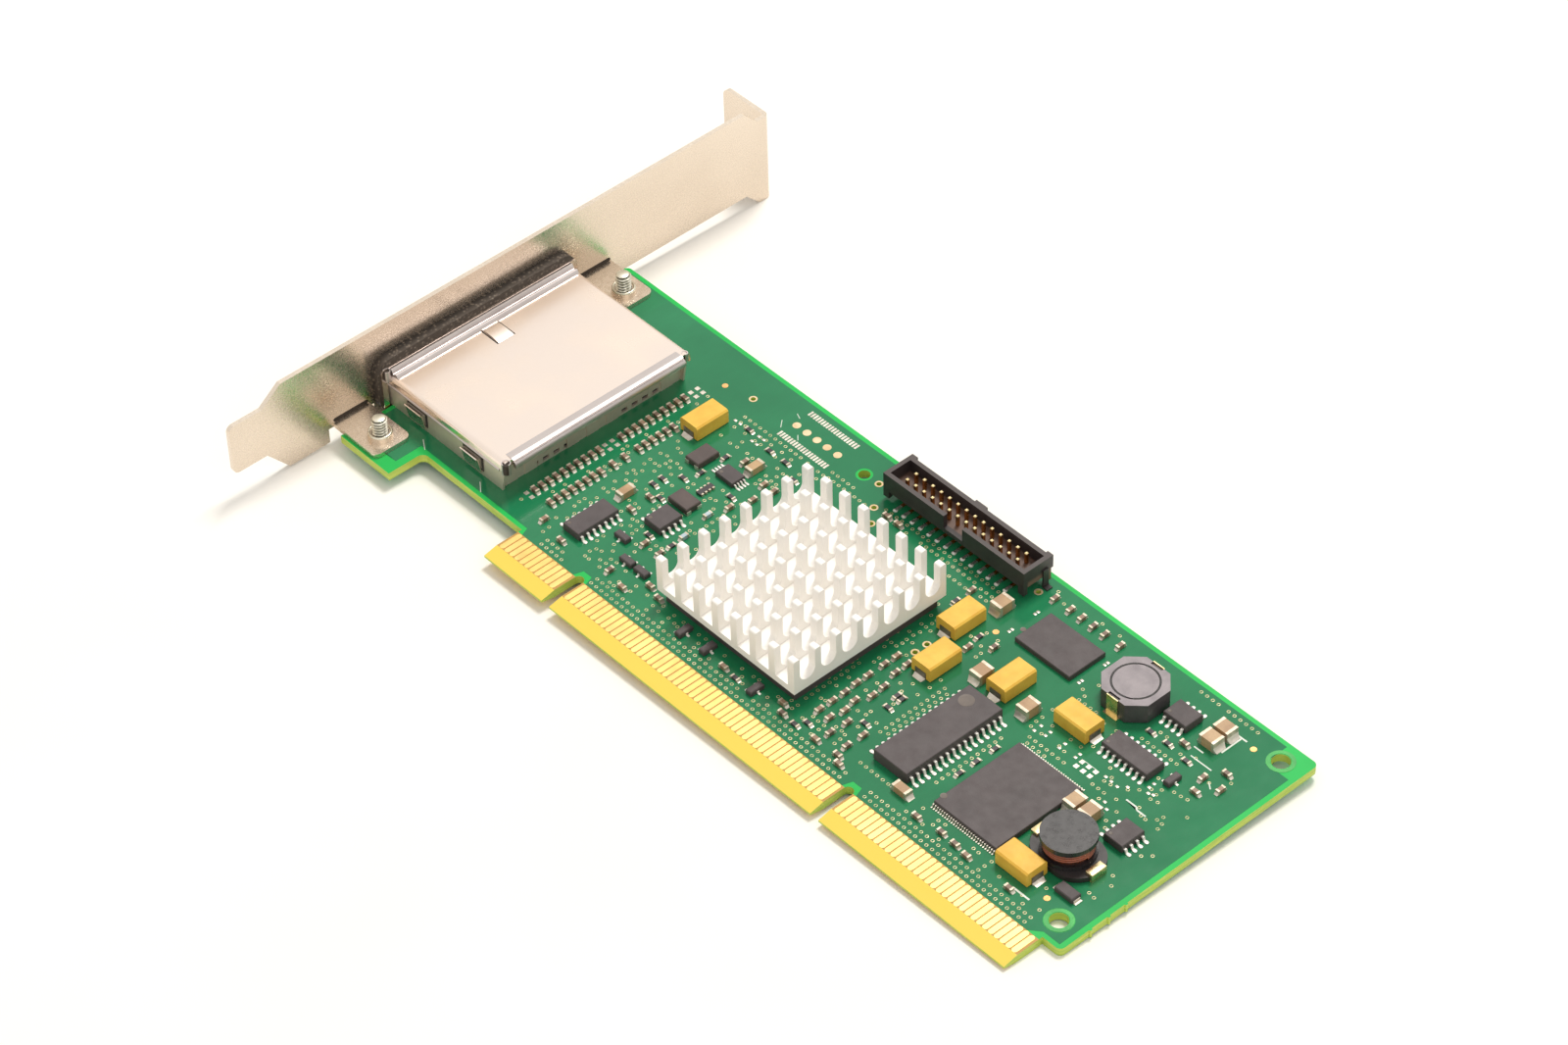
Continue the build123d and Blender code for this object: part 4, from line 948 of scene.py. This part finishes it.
def viaPlaces():
    # a via is left out where a part stands on it or another is close
    look = viaLook
    gap = look["radius"] + look["clearance"]
    taken = [
        box for name, boxes in partBoxes.items() for box in boxes
        if box[0][2] < look["covered"] and name != "controller_chip"
    ]
    kept = []
    for x, y in wantedVias():
        blocked = any(
            low[0] - gap < x < high[0] + gap and low[1] - gap < y < high[1] + gap for low, high in taken
        )
        spacing = look["spacing"]
        if not blocked and not any(abs(x - px) < spacing and abs(y - py) < spacing for px, py in kept):
            kept.append((x, y))
    return kept


def addVias(places):
    look = viaLook
    thick = fieldLook["thickness"]
    for name, height in (("via_rings_top", thick), ("via_rings_bottom", underside - thick)):
        ring = addRing(look["radius"], look["wire"], look["flat"], 12, 4)
        rings = repeatPiece(ring, [standing(x, y, height) for x, y in places])
        finishPiece(rings, name, "via_copper", 60)


viaSpots = viaPlaces()
addVias(viaSpots)
print("vias made:", len(viaSpots))


# Loose marks on the board: white lines, copper targets, bare pads

markLook = {
    "height": 0.03, "targetRadius": 0.55,
    "targets": ((-4.5, 56.0), (69.8, 48.2), (116.2, 59.4), (116.5, 14.0)),
    "lines": (
        ((110.4, 51.3), (114.9, 51.3), 0.24), ((112.4, 59.8), (114.4, 59.8), 0.3),
        ((113.3, 59.6), (113.3, 55.2), 0.3), ((110.2, 37.3), (112.4, 37.3), 0.3),
        ((112.4, 37.3), (112.9, 36.9), 0.3), ((112.9, 36.9), (114.8, 36.9), 0.3),
        ((111.4, 11.8), (114.9, 11.8), 0.34), ((109.4, 53.1), (111.4, 53.1), 0.26),
        ((99.6, 38.4), (102.4, 38.4), 0.12), ((8.6, 57.2), (9.8, 55.8), 0.12),
        ((9.2, 60.1), (10.4, 59.6), 0.12), ((13.2, 56.6), (14.2, 55.7), 0.12),
        ((-29.3, 10.1), (-27.1, 8.7), 0.14), ((-14.6, 10.4), (-12.6, 8.9), 0.14),
        ((116.4, 49.2), (117.6, 48.3), 0.2),
    ),
    "pads": (
        (89.8, 38.8), (89.8, 37.3), (91.8, 38.9), (91.8, 37.8), (95.2, 38.8), (95.2, 37.5), (98.4, 38.9),
        (98.4, 37.9), (104.6, 38.4), (105.9, 38.3), (107.3, 38.2), (108.5, 39.3), (108.3, 34.5),
        (109.6, 33.6), (110.8, 42.8), (110.8, 41.7), (3.3, 51.4), (4.5, 51.4), (9.0, 51.6), (10.2, 51.6),
        (9.0, 50.0), (10.2, 50.0), (111.6, 40.7), (112.4, 41.0), (71.2, 56.3), (71.2, 55.6), (71.2, 50.5),
        (71.2, 49.8), (87.1, 56.3), (87.1, 55.6), (87.1, 50.5), (87.1, 49.8),
    ),
    "padSize": (0.62, 0.5, 0.12), "padRound": 0.045, "padHeight": 0.03,
}


def strokeOutline(start, end, width):
    start, end = Vector(start), Vector(end)
    along = (end - start).normalized()
    across = Vector((-along.y, along.x)) * width / 2
    return [start + across, start - across, end - across, end + across]


def addMarks():
    look = markLook
    base = fieldLook["thickness"]
    top = base + look["height"]
    lines = flatPiece([strokeOutline(*line) for line in look["lines"]], base / 2, top)
    finishPiece(lines, "ink_lines", "white_ink")
    targets = flatPiece([ringOutline(x, y, look["targetRadius"]) for x, y in look["targets"]], base / 2, top)
    finishPiece(targets, "copper_targets", "bare_copper")
    pad = addBlock(Vector(look["padSize"]) * mm)
    roundEdges(look["padRound"], 2)
    pads = repeatPiece(pad, [standing(x, y, base + look["padHeight"]) for x, y in look["pads"]])
    finishPiece(pads, "tinned_pads", "tinned_copper")


addMarks()
print("marks made")


# Solder: a wedge that climbs the outer face of each end cap, a bead at the foot of each lead

solderLook = {
    "reach": 0.34, "tallReach": 0.62, "tallFrom": 1.3, "climb": 0.5, "side": 0.04,
    "stripReach": 0.85, "stripClimb": 0.24, "capSpan": 4, "stripSpan": 8, "inLine": 0.05,
    "hollow": 1.8, "lip": 0.12, "taper": 0.22,
    "leadNodes": ("static_memory_leads", "small_outline_leads", "thin_eight_lead_leads"),
    "toeWidth": 1.6, "toeLength": 0.8, "toeHeight": 0.34, "toePast": 0.34, "toeFall": 0.84, "toeCorner": 0.78,
}


def middleOf(low, high):
    return [(low[axis] + high[axis]) / 2 for axis in (0, 1)]


def endOf(low, high, axis, outward):
    # the end of a box that faces outward along an axis: its place, its turn and its width
    place = middleOf(low, high)
    place[axis] = high[axis] if outward > 0 else low[axis]
    turn = 90 * outward if axis == 1 else 90 - 90 * outward
    return (*place, turn, high[1 - axis] - low[1 - axis])


def endFillets():
    # each part has two end caps in a row; the wedge stands on the side that faces away from the other
    look = solderLook
    wedges = []
    for name, boxes in partBoxes.items():
        strip = name == "tantalum_terminals"
        if not strip and (not name.endswith("_ends") or name == "resistor_array_ends"):
            continue
        farthest = look["stripSpan" if strip else "capSpan"]
        for low, high in boxes:
            x, y = middleOf(low, high)
            axis = 0 if high[0] - low[0] < high[1] - low[1] else 1
            gaps = [(px - x, py - y) for px, py in (middleOf(*box) for box in boxes)]
            mates = [
                (abs(gap[0]) + abs(gap[1]), *gap) for gap in gaps
                if any(gap) and abs(gap[1 - axis]) < look["inLine"] and abs(gap[axis]) < farthest
            ]
            if not mates:
                continue
            outward = -1 if min(mates)[1 + axis] > 0 else 1
            height = (high[2] - max(low[2], 0)) * look["stripClimb" if strip else "climb"]
            reach = look["tallReach" if high[2] > look["tallFrom"] else "reach"]
            wedges.append((*endOf(low, high, axis, outward), height, look["stripReach"] if strip else reach))
    return wedges


def addSolder():
    # one wedge is modelled at unit size: a block with its outer top edge pulled down and hollowed
    look = solderLook
    wedge = cutBlock((0.5, 0, 0.5), 2)
    for vertex in wedge.data.vertices:
        reach = vertex.co.x
        vertex.co.z *= (1 - reach) ** look["hollow"] * (1 - look["lip"]) + look["lip"]
        vertex.co.y *= 1 - look["taper"] * reach
    places = []
    for x, y, turn, width, height, reach in endFillets():
        size = Matrix.Diagonal((reach * mm, (width + look["side"]) * mm, height * mm, 1))
        places.append(standing(x, y, 0, turn) @ size)
    finishPiece(repeatPiece(wedge, places), "solder_fillets", "tinned_copper", 50)
    return len(places)


def boxGap(box, place):
    low, high = box
    return sum(max(low[axis] - place[axis], place[axis] - high[axis], 0) for axis in (0, 1))


def leadToes():
    # the end of each lead that faces away from its chip
    toes = []
    for name in solderLook["leadNodes"]:
        bodies = partBoxes[name.replace("_leads", "_bodies")]
        for low, high in partBoxes[name]:
            x, y = middleOf(low, high)
            bodyLow, bodyHigh = min(bodies, key=lambda body: boxGap(body, (x, y)))
            if bodyLow[0] <= x <= bodyHigh[0]:
                toes.append(endOf(low, high, 1, -1 if y < bodyLow[1] else 1))
            else:
                toes.append(endOf(low, high, 0, -1 if x < bodyLow[0] else 1))
    # the header's feet point away from its middle line
    pins = partBoxes["header_pins"]
    middle = sum(low[1] + high[1] for low, high in pins) / (2 * len(pins))
    toes += [endOf(low, high, 1, -1 if middleOf(low, high)[1] < middle else 1) for low, high in pins]
    return toes


def addToeSolder():
    # a small domed bead: a block with its top edges lowered and its corners drawn in
    look = solderLook
    bead = cutBlock((0, 0, 0.5), 1)
    for vertex in bead.data.vertices:
        if vertex.co.z > 0.9:
            vertex.co.z *= 1 - look["toeFall"] * max(abs(vertex.co.x), abs(vertex.co.y))
        if abs(vertex.co.x) > 0.4 and abs(vertex.co.y) > 0.4:
            vertex.co.x *= look["toeCorner"]
            vertex.co.y *= look["toeCorner"]
    length = look["toeLength"]
    forward = Matrix.Translation(((look["toePast"] - length / 2) * mm, 0, 0))
    places = []
    for x, y, turn, width in leadToes():
        size = Matrix.Diagonal((length * mm, width * look["toeWidth"] * mm, look["toeHeight"] * mm, 1))
        places.append(standing(x, y, 0, turn) @ forward @ size)
    finishPiece(repeatPiece(bead, places), "toe_solder", "lead_tin", 60)
    return len(places)


print("solder fillets made:", addSolder())
print("solder beads made:", addToeSolder())


# Moulding marks on the chips: a shallow round dish at the first pin

dishLook = {
    "chips": (("static_memory_bodies", 79.3, 32.6, 1.35), ("memory_chip", 73.1, 51.1, 0.5),
              ("flash_memory_bodies", 91.0, 16.6, 0.6)),
    "smallNodes": ("small_outline_bodies", "thin_eight_lead_bodies"), "small": 0.32, "inset": 0.75,
    "thickness": 0.03, "rim": 0.08, "rimDrop": 0.008, "slope": 0.3, "floorDrop": 0.003, "sides": 28,
}


def dishPlaces():
    look = dishLook
    places = [(x, y, partBoxes[name][0][1][2], radius) for name, x, y, radius in look["chips"]]
    for name in look["smallNodes"]:
        for low, high in partBoxes[name]:
            places.append((low[0] + look["inset"], low[1] + look["inset"], high[2], look["small"]))
    return places


def addDishes():
    look = dishLook
    dishes = []
    for x, y, top, radius in dishPlaces():
        dish = addDrum(radius, -look["thickness"] / 2, look["thickness"] / 2, look["sides"])
        selectTop(dish)
        bpy.ops.mesh.inset(thickness=look["rim"] * radius * mm, depth=-look["rimDrop"] * mm)
        bpy.ops.mesh.inset(thickness=look["slope"] * radius * mm, depth=-look["floorDrop"] * mm)
        bpy.ops.object.mode_set(mode="OBJECT")
        dish.data.transform(standing(x, y, top))
        dishes.append(dish)
    finishPiece(joinPieces(dishes), "moulding_marks", "moulding_mark", 30)


addDishes()
print("moulding marks made")


# Board screws: threaded shank up through the tab, cross-recessed pan head under the board, boss rim

screwLook = {
    "turns": (20, 65), "core": 1.08, "crest": 1.45, "pitch": 0.6, "overlap": 0.3, "tip": 4.9,
    "rings": 68, "sides": 28, "crestWidth": 0.32, "tipTaper": 0.3, "grooveDark": 2.2,
    "tipInset": (0.16, 0.08), "wallSlack": 0.05, "tipSlack": 0.02,
    "headRadius": 2.78, "headHeight": 1.88, "headRound": 1.05, "headSides": 40,
    "slot": (2.9, 0.55, 1.0), "slotPast": 0.05,
    "collar": 1.88, "collarWire": 0.27, "collarFlat": 1.5, "collarHeight": 1.72,
}


def threadedShank():
    # a cylinder grown ring by ring, each point then set out by how far it is along the thread's helix
    look = screwLook
    bottom = underside - look["overlap"]
    step = (look["tip"] - bottom) / look["rings"]
    shank = addDrum(look["core"], bottom, bottom + step, look["sides"])
    selectTop(shank)
    for ring in range(look["rings"] - 1):
        bpy.ops.mesh.extrude_region_move(TRANSFORM_OT_translate={"value": (0, 0, step * mm)})
    inward, rise = look["tipInset"]
    bpy.ops.mesh.inset(thickness=inward * mm, depth=rise * mm)
    bpy.ops.object.mode_set(mode="OBJECT")
    groove = shank.data.attributes.new("groove", "FLOAT", "POINT")
    for vertex in shank.data.vertices:
        height = vertex.co.z / mm
        # the end caps' inner points and the tip keep their place
        inside = vertex.co.xy.length / mm < look["core"] - look["wallSlack"]
        if inside or height > look["tip"] - look["tipSlack"]:
            continue
        turn = math.atan2(vertex.co.y, vertex.co.x) / (2 * math.pi)
        along = (height / look["pitch"] - turn) % 1.0
        ridge = max(0.0, 1 - abs(along - 0.5) / look["crestWidth"])
        taper = min(1.0, (look["tip"] - height) / look["tipTaper"])
        # how deep each point sits in the groove sets its painted shade
        groove.data[vertex.index].value = max(0.0, 1 - look["grooveDark"] * ridge)
        size = (look["core"] + (look["crest"] - look["core"]) * ridge * taper) / look["core"]
        vertex.co.x *= size
        vertex.co.y *= size
    return shank


def panHead():
    look = screwLook
    low = underside - look["headHeight"]
    head = addDrum(look["headRadius"], low, underside, look["headSides"])
    for edge in head.data.edges:
        heights = [head.data.vertices[index].co.z for index in edge.vertices]
        edge.select = max(heights) < (low + underside) / 2 * mm
    for face in head.data.polygons:
        face.select = False
    bpy.ops.object.mode_set(mode="EDIT")
    bpy.ops.mesh.select_mode(type="EDGE")
    bpy.ops.mesh.bevel(offset=look["headRound"] * mm, segments=6)
    bpy.ops.mesh.select_mode(type="VERT")
    bpy.ops.object.mode_set(mode="OBJECT")
    for turn in (0, 90):
        middle = low + look["slot"][2] / 2 - look["slotPast"]
        cutter = addBlock(Vector(look["slot"]) * mm, (0, 0, middle * mm))
        cutter.rotation_euler.z = math.radians(turn)
        pick(head)
        cut = head.modifiers.new("recess", "BOOLEAN")
        cut.operation = "DIFFERENCE"
        cut.object = cutter
        bpy.ops.object.modifier_apply(modifier="recess")
        bpy.data.objects.remove(cutter)
    return head


def addScrews():
    look = screwLook
    shank = threadedShank()
    screw = joinPieces([panHead(), shank])
    screws = repeatPiece(screw, [standing(screwX, y, 0, turn) for y, turn in zip(screwRows, look["turns"])])
    finishPiece(screws, "threaded_screws", "thread_steel", 30)
    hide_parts("bracket_screws")
    # the turned-out rim of each threaded boss
    collar = addRing(look["collar"], look["collarWire"], look["collarFlat"], 48, 12)
    collars = repeatPiece(collar, [standing(screwX, y, look["collarHeight"]) for y in screwRows])
    finishPiece(collars, "screw_collars", "screw_steel", 60)


addScrews()
print("screws made")


# Port cage: rolled front edge and rear edge, hems, locking tongues, lanced strip, corner curls

cageSheet = {
    "front": -39.9, "rear": -9.1, "near": 11.45, "far": 52.4, "frontInset": 0.5, "rearInset": 1.8,
    "roll": ((-39.9, 7.0), (-39.9, 8.02), (-39.6, 8.2), (-39.2, 8.16), (-38.95, 7.8), (-38.82, 7.4),
             (-38.62, 7.36), (-38.45, 7.62), (-38.1, 7.72), (-37.8, 7.56), (-37.6, 7.2), (-37.5, 7.0)),
    "rearCentre": (-9.35, 5.85), "rearRadius": 1.27, "rearGroove": 0.22, "rearStart": (-10.75, 7.0),
    "rearInside": ((-8.6, 5.45), (-9.15, 6.55), (-10.75, 6.7)),
    "hemHeight": 4.95, "hemRadius": 0.22, "hemSink": 0.02, "hemStart": 0.2, "hemEnd": 1.2,
    "tongue": ((11.86, 0.8), (11.5, 0.8), (10.94, 3.7), (10.62, 4.1), (10.74, 4.28), (11.14, 3.96),
               (11.8, 1.0)),
    "mouth": ((11.82, 1.1), (11.82, 4.5), (11.7, 4.72), (11.62, 4.5), (11.74, 1.1)),
    "tongueMiddles": (-32.5, -17.7), "tongueHalf": 2.15, "mouthHalf": 2.55,
    "strip": ((-38.2, 7.0), (-37.3, 7.2), (-36.2, 7.26), (-34.9, 7.26), (-33.9, 7.16), (-33.0, 7.0),
              (-33.0, 6.9), (-38.2, 6.9)),
    "stripSides": (30.28, 33.57), "slits": (30.1, 33.75), "slitSpan": (-38.2, -33.0),
    "slitHalf": 0.2, "slitTopHalf": 0.12, "slitLow": 6.86, "slitHigh": 7.02,
    "tab": ((-11.0, 0.05), (-10.86, 0.05), (-10.8, 3.9), (-11.0, 3.9)),
    "tabMiddles": (14.2, 18.4, 27.6, 31.9, 36.2, 48.4), "tabHalf": 1.3,
    "curls": ((-9.0, 11.9, 0.82, 4.7, 7.12, 355), (-9.45, 51.5, 0.6, 5.6, 7.05, 330),
              (-39.6, 11.25, 0.68, 5.9, 8.15, 300)),
    "curlSheet": 0.16, "curlTurn": 280, "curlFloor": 0.1, "hollowDrop": 0.3, "mouthDrop": 0.5,
    "mouthGap": 0.02,
}


def rearRoll():
    # the rear edge bends down round its centre, with a groove pressed along the bend
    look = cageSheet
    centreX, centreZ = look["rearCentre"]
    section = [look["rearStart"]]
    for degrees in range(96, -21, -6):
        radius = look["rearRadius"] - (look["rearGroove"] if degrees in (48, 54) else 0)
        bend = math.radians(degrees)
        section.append((centreX + radius * math.cos(bend), centreZ + radius * math.sin(bend)))
    section += look["rearInside"]
    return barPiece(section, look["near"] + look["rearInset"], look["far"] - look["rearInset"], "y")


def sideHem(y):
    look = cageSheet
    section = ringOutline(y, look["hemHeight"], look["hemRadius"], 12)
    return barPiece(section, look["front"] + look["hemStart"], look["rear"] - look["hemEnd"], "x")


def cornerCurl(x, y, radius, bottom, top, turned):
    # a strip of the cover's corner, curled round with its mouth left open
    inner = radius - cageSheet["curlSheet"]
    outline = bandOutline(x, y, radius, inner, turned, cageSheet["curlTurn"], 14)
    return flatPiece([outline], bottom, top)


def curlShadow(x, y, radius, bottom, top, turned):
    # a dark core that fills the curl: painted shade in its hollow
    look = cageSheet
    outline = ringOutline(x, y, radius - look["curlSheet"], 15, turned)
    return flatPiece([outline], bottom + look["curlFloor"], top - look["hollowDrop"])


def slitMouth(y):
    look = cageSheet
    half, topHalf = look["slitHalf"], look["slitTopHalf"]
    low, high = look["slitLow"], look["slitHigh"]
    section = ((y - half, low), (y + half, low), (y + topHalf, high), (y - topHalf, high))
    return barPiece(section, *look["slitSpan"], "x")


def curlMouth(x, y, radius, bottom, top, turned):
    look = cageSheet
    outline = ringOutline(x, y, radius - look["curlSheet"] - look["mouthGap"], 14)
    return flatPiece([outline], bottom + look["curlFloor"], top - look["mouthDrop"])


def addCageDetails():
    look = cageSheet
    near, far = look["near"], look["far"]
    # dark cores inside the curls: painted shade
    curlShades = joinPieces([curlShadow(*curl) for curl in look["curls"]])
    finishPiece(curlShades, "cage_curl_shadows", "shadowed_steel", 40)
    rolled = [barPiece(look["roll"], near + look["frontInset"], far - look["frontInset"], "y"), rearRoll()]
    rolled += [sideHem(near + look["hemSink"]), sideHem(far - look["hemSink"])]
    rolled += [cornerCurl(*curl) for curl in look["curls"]]
    finishPiece(joinPieces(rolled), "cage_rolled_edges", "cage_rolled_shaded", 40)
    tongues = barRow(look["tongue"], look["tongueMiddles"], look["tongueHalf"], "x")
    tongues.append(barPiece(look["strip"], *look["stripSides"], "y"))
    finishPiece(joinPieces(tongues), "cage_tongues", "cage_plate", 30)
    tabs = barRow(look["tab"], look["tabMiddles"], look["tabHalf"], "y")
    finishPiece(joinPieces(tabs), "cage_rear_tabs", "cage_walls_shaded", 30)
    # dark sheets behind the tongues, under the slits and inside the curls: painted shade in the openings
    mouths = barRow(look["mouth"], look["tongueMiddles"], look["mouthHalf"], "x")
    mouths += [slitMouth(y) for y in look["slits"]] + [curlMouth(*curl) for curl in look["curls"]]
    finishPiece(joinPieces(mouths), "cage_mouth_shadows", "cage_opening_shade", 30)


addCageDetails()
print("cage edges and tongues made")


# Foam gasket: one soft ring round the cage, pinched between the bracket and the lip

gasketLook = {
    "left": -42.2, "right": -40.3,
    "outside": (9.8, 53.5, -1.5, 9.5, 2.8), "hole": (11.3, 52.55, 0.0, 7.15, 0.3),
    "round": 0.85, "roundSteps": 5, "roundFrom": 60,
}


def addGasket():
    look = gasketLook
    outlines = [roundedOutline(*look["outside"]), roundedOutline(*look["hole"])]
    ring = wallPiece(outlines, look["left"], look["right"])
    closeMesh(ring)
    soft = ring.modifiers.new("soft edge", "BEVEL")
    soft.width = look["round"] * mm
    soft.segments = look["roundSteps"]
    soft.limit_method = "ANGLE"
    soft.angle_limit = math.radians(look["roundFrom"])
    bpy.ops.object.modifier_apply(modifier="soft edge")
    finishPiece(ring, "soft_gasket", "gasket_foam", 50)
    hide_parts("port_gasket")


addGasket()
print("gasket made")


# Drum inductor: turns of enamelled wire side by side on the spool, and folded caps over the terminals,
# which stand up past the base

drumLook = {
    "place": (112.3, 22.7), "radius": 4.0, "wire": 0.22, "wireSides": 8, "low": 2.02, "turns": 5,
    "pitch": 0.44, "sides": 44, "coreRadius": 3.9, "coreHigh": 4.28,
    "capMiddles": (106.35, 118.25), "capSize": (1.6, 3.2, 1.5), "capHeight": 0.95, "capRound": 0.16,
}


def addWinding():
    look = drumLook
    clearSelection()
    bpy.ops.mesh.primitive_circle_add(
        vertices=look["wireSides"], radius=look["wire"] * mm, rotation=(math.radians(90), 0, 0),
        location=(look["radius"] * mm, 0, (look["low"] + look["wire"]) * mm), fill_type="NGON",
    )
    wire = placed()
    coil = wire.modifiers.new("coil", "SCREW")
    coil.angle = 2 * math.pi
    coil.screw_offset = look["pitch"] * mm
    coil.iterations = look["turns"]
    coil.steps = look["sides"]
    coil.render_steps = look["sides"]
    bpy.ops.object.modifier_apply(modifier="coil")
    core = addDrum(look["coreRadius"], look["low"], look["coreHigh"], look["sides"])
    winding = repeatPiece(joinPieces([wire, core]), [standing(*look["place"])])
    finishPiece(winding, "wound_wire", "copper_wire", 60)
    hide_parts("drum_inductor_winding")


def addDrumCaps():
    look = drumLook
    caps = []
    for x in look["capMiddles"]:
        caps.append(addBlock(Vector(look["capSize"]) * mm, at(x, look["place"][1], look["capHeight"])))
        roundEdges(look["capRound"], 3)
    finishPiece(joinPieces(caps), "drum_terminal_caps", "brass_strip", 35)


# Shielded inductor: the gap round its core, filled with dark resin, and broken by the two strips

shieldGap = {
    "place": (95.7, 53.8), "radius": 4.1, "width": 0.36, "bottom": 3.82, "top": 4.02, "starts": (129, 309),
    "turn": 162, "steps": 26,
}


def addShieldGap():
    look = shieldGap
    inner = look["radius"] - look["width"]
    outlines = [
        bandOutline(*look["place"], look["radius"], inner, start, look["turn"], look["steps"])
        for start in look["starts"]
    ]
    arcs = [flatPiece([outline], look["bottom"], look["top"]) for outline in outlines]
    finishPiece(joinPieces(arcs), "shield_gap", "gap_resin", 30)


addWinding()
addShieldGap()
addDrumCaps()
print("inductors made")


# Bracket: dark sheets in the relief slots above the two screw tabs, painted shade where the slots show only
# shadow

reliefLook = {"half": 3.7, "low": 0.92, "high": 1.66, "corner": 0.35, "left": -42.24, "right": -42.14}


def addReliefs():
    look = reliefLook
    half = look["half"]
    slots = []
    for y in screwRows:
        outline = roundedOutline(y - half, y + half, look["low"], look["high"], look["corner"])
        slots.append(wallPiece([outline], look["left"], look["right"]))
    finishPiece(joinPieces(slots), "bracket_relief_shadows", "shadowed_steel", 30)


addReliefs()
print("reliefs made")
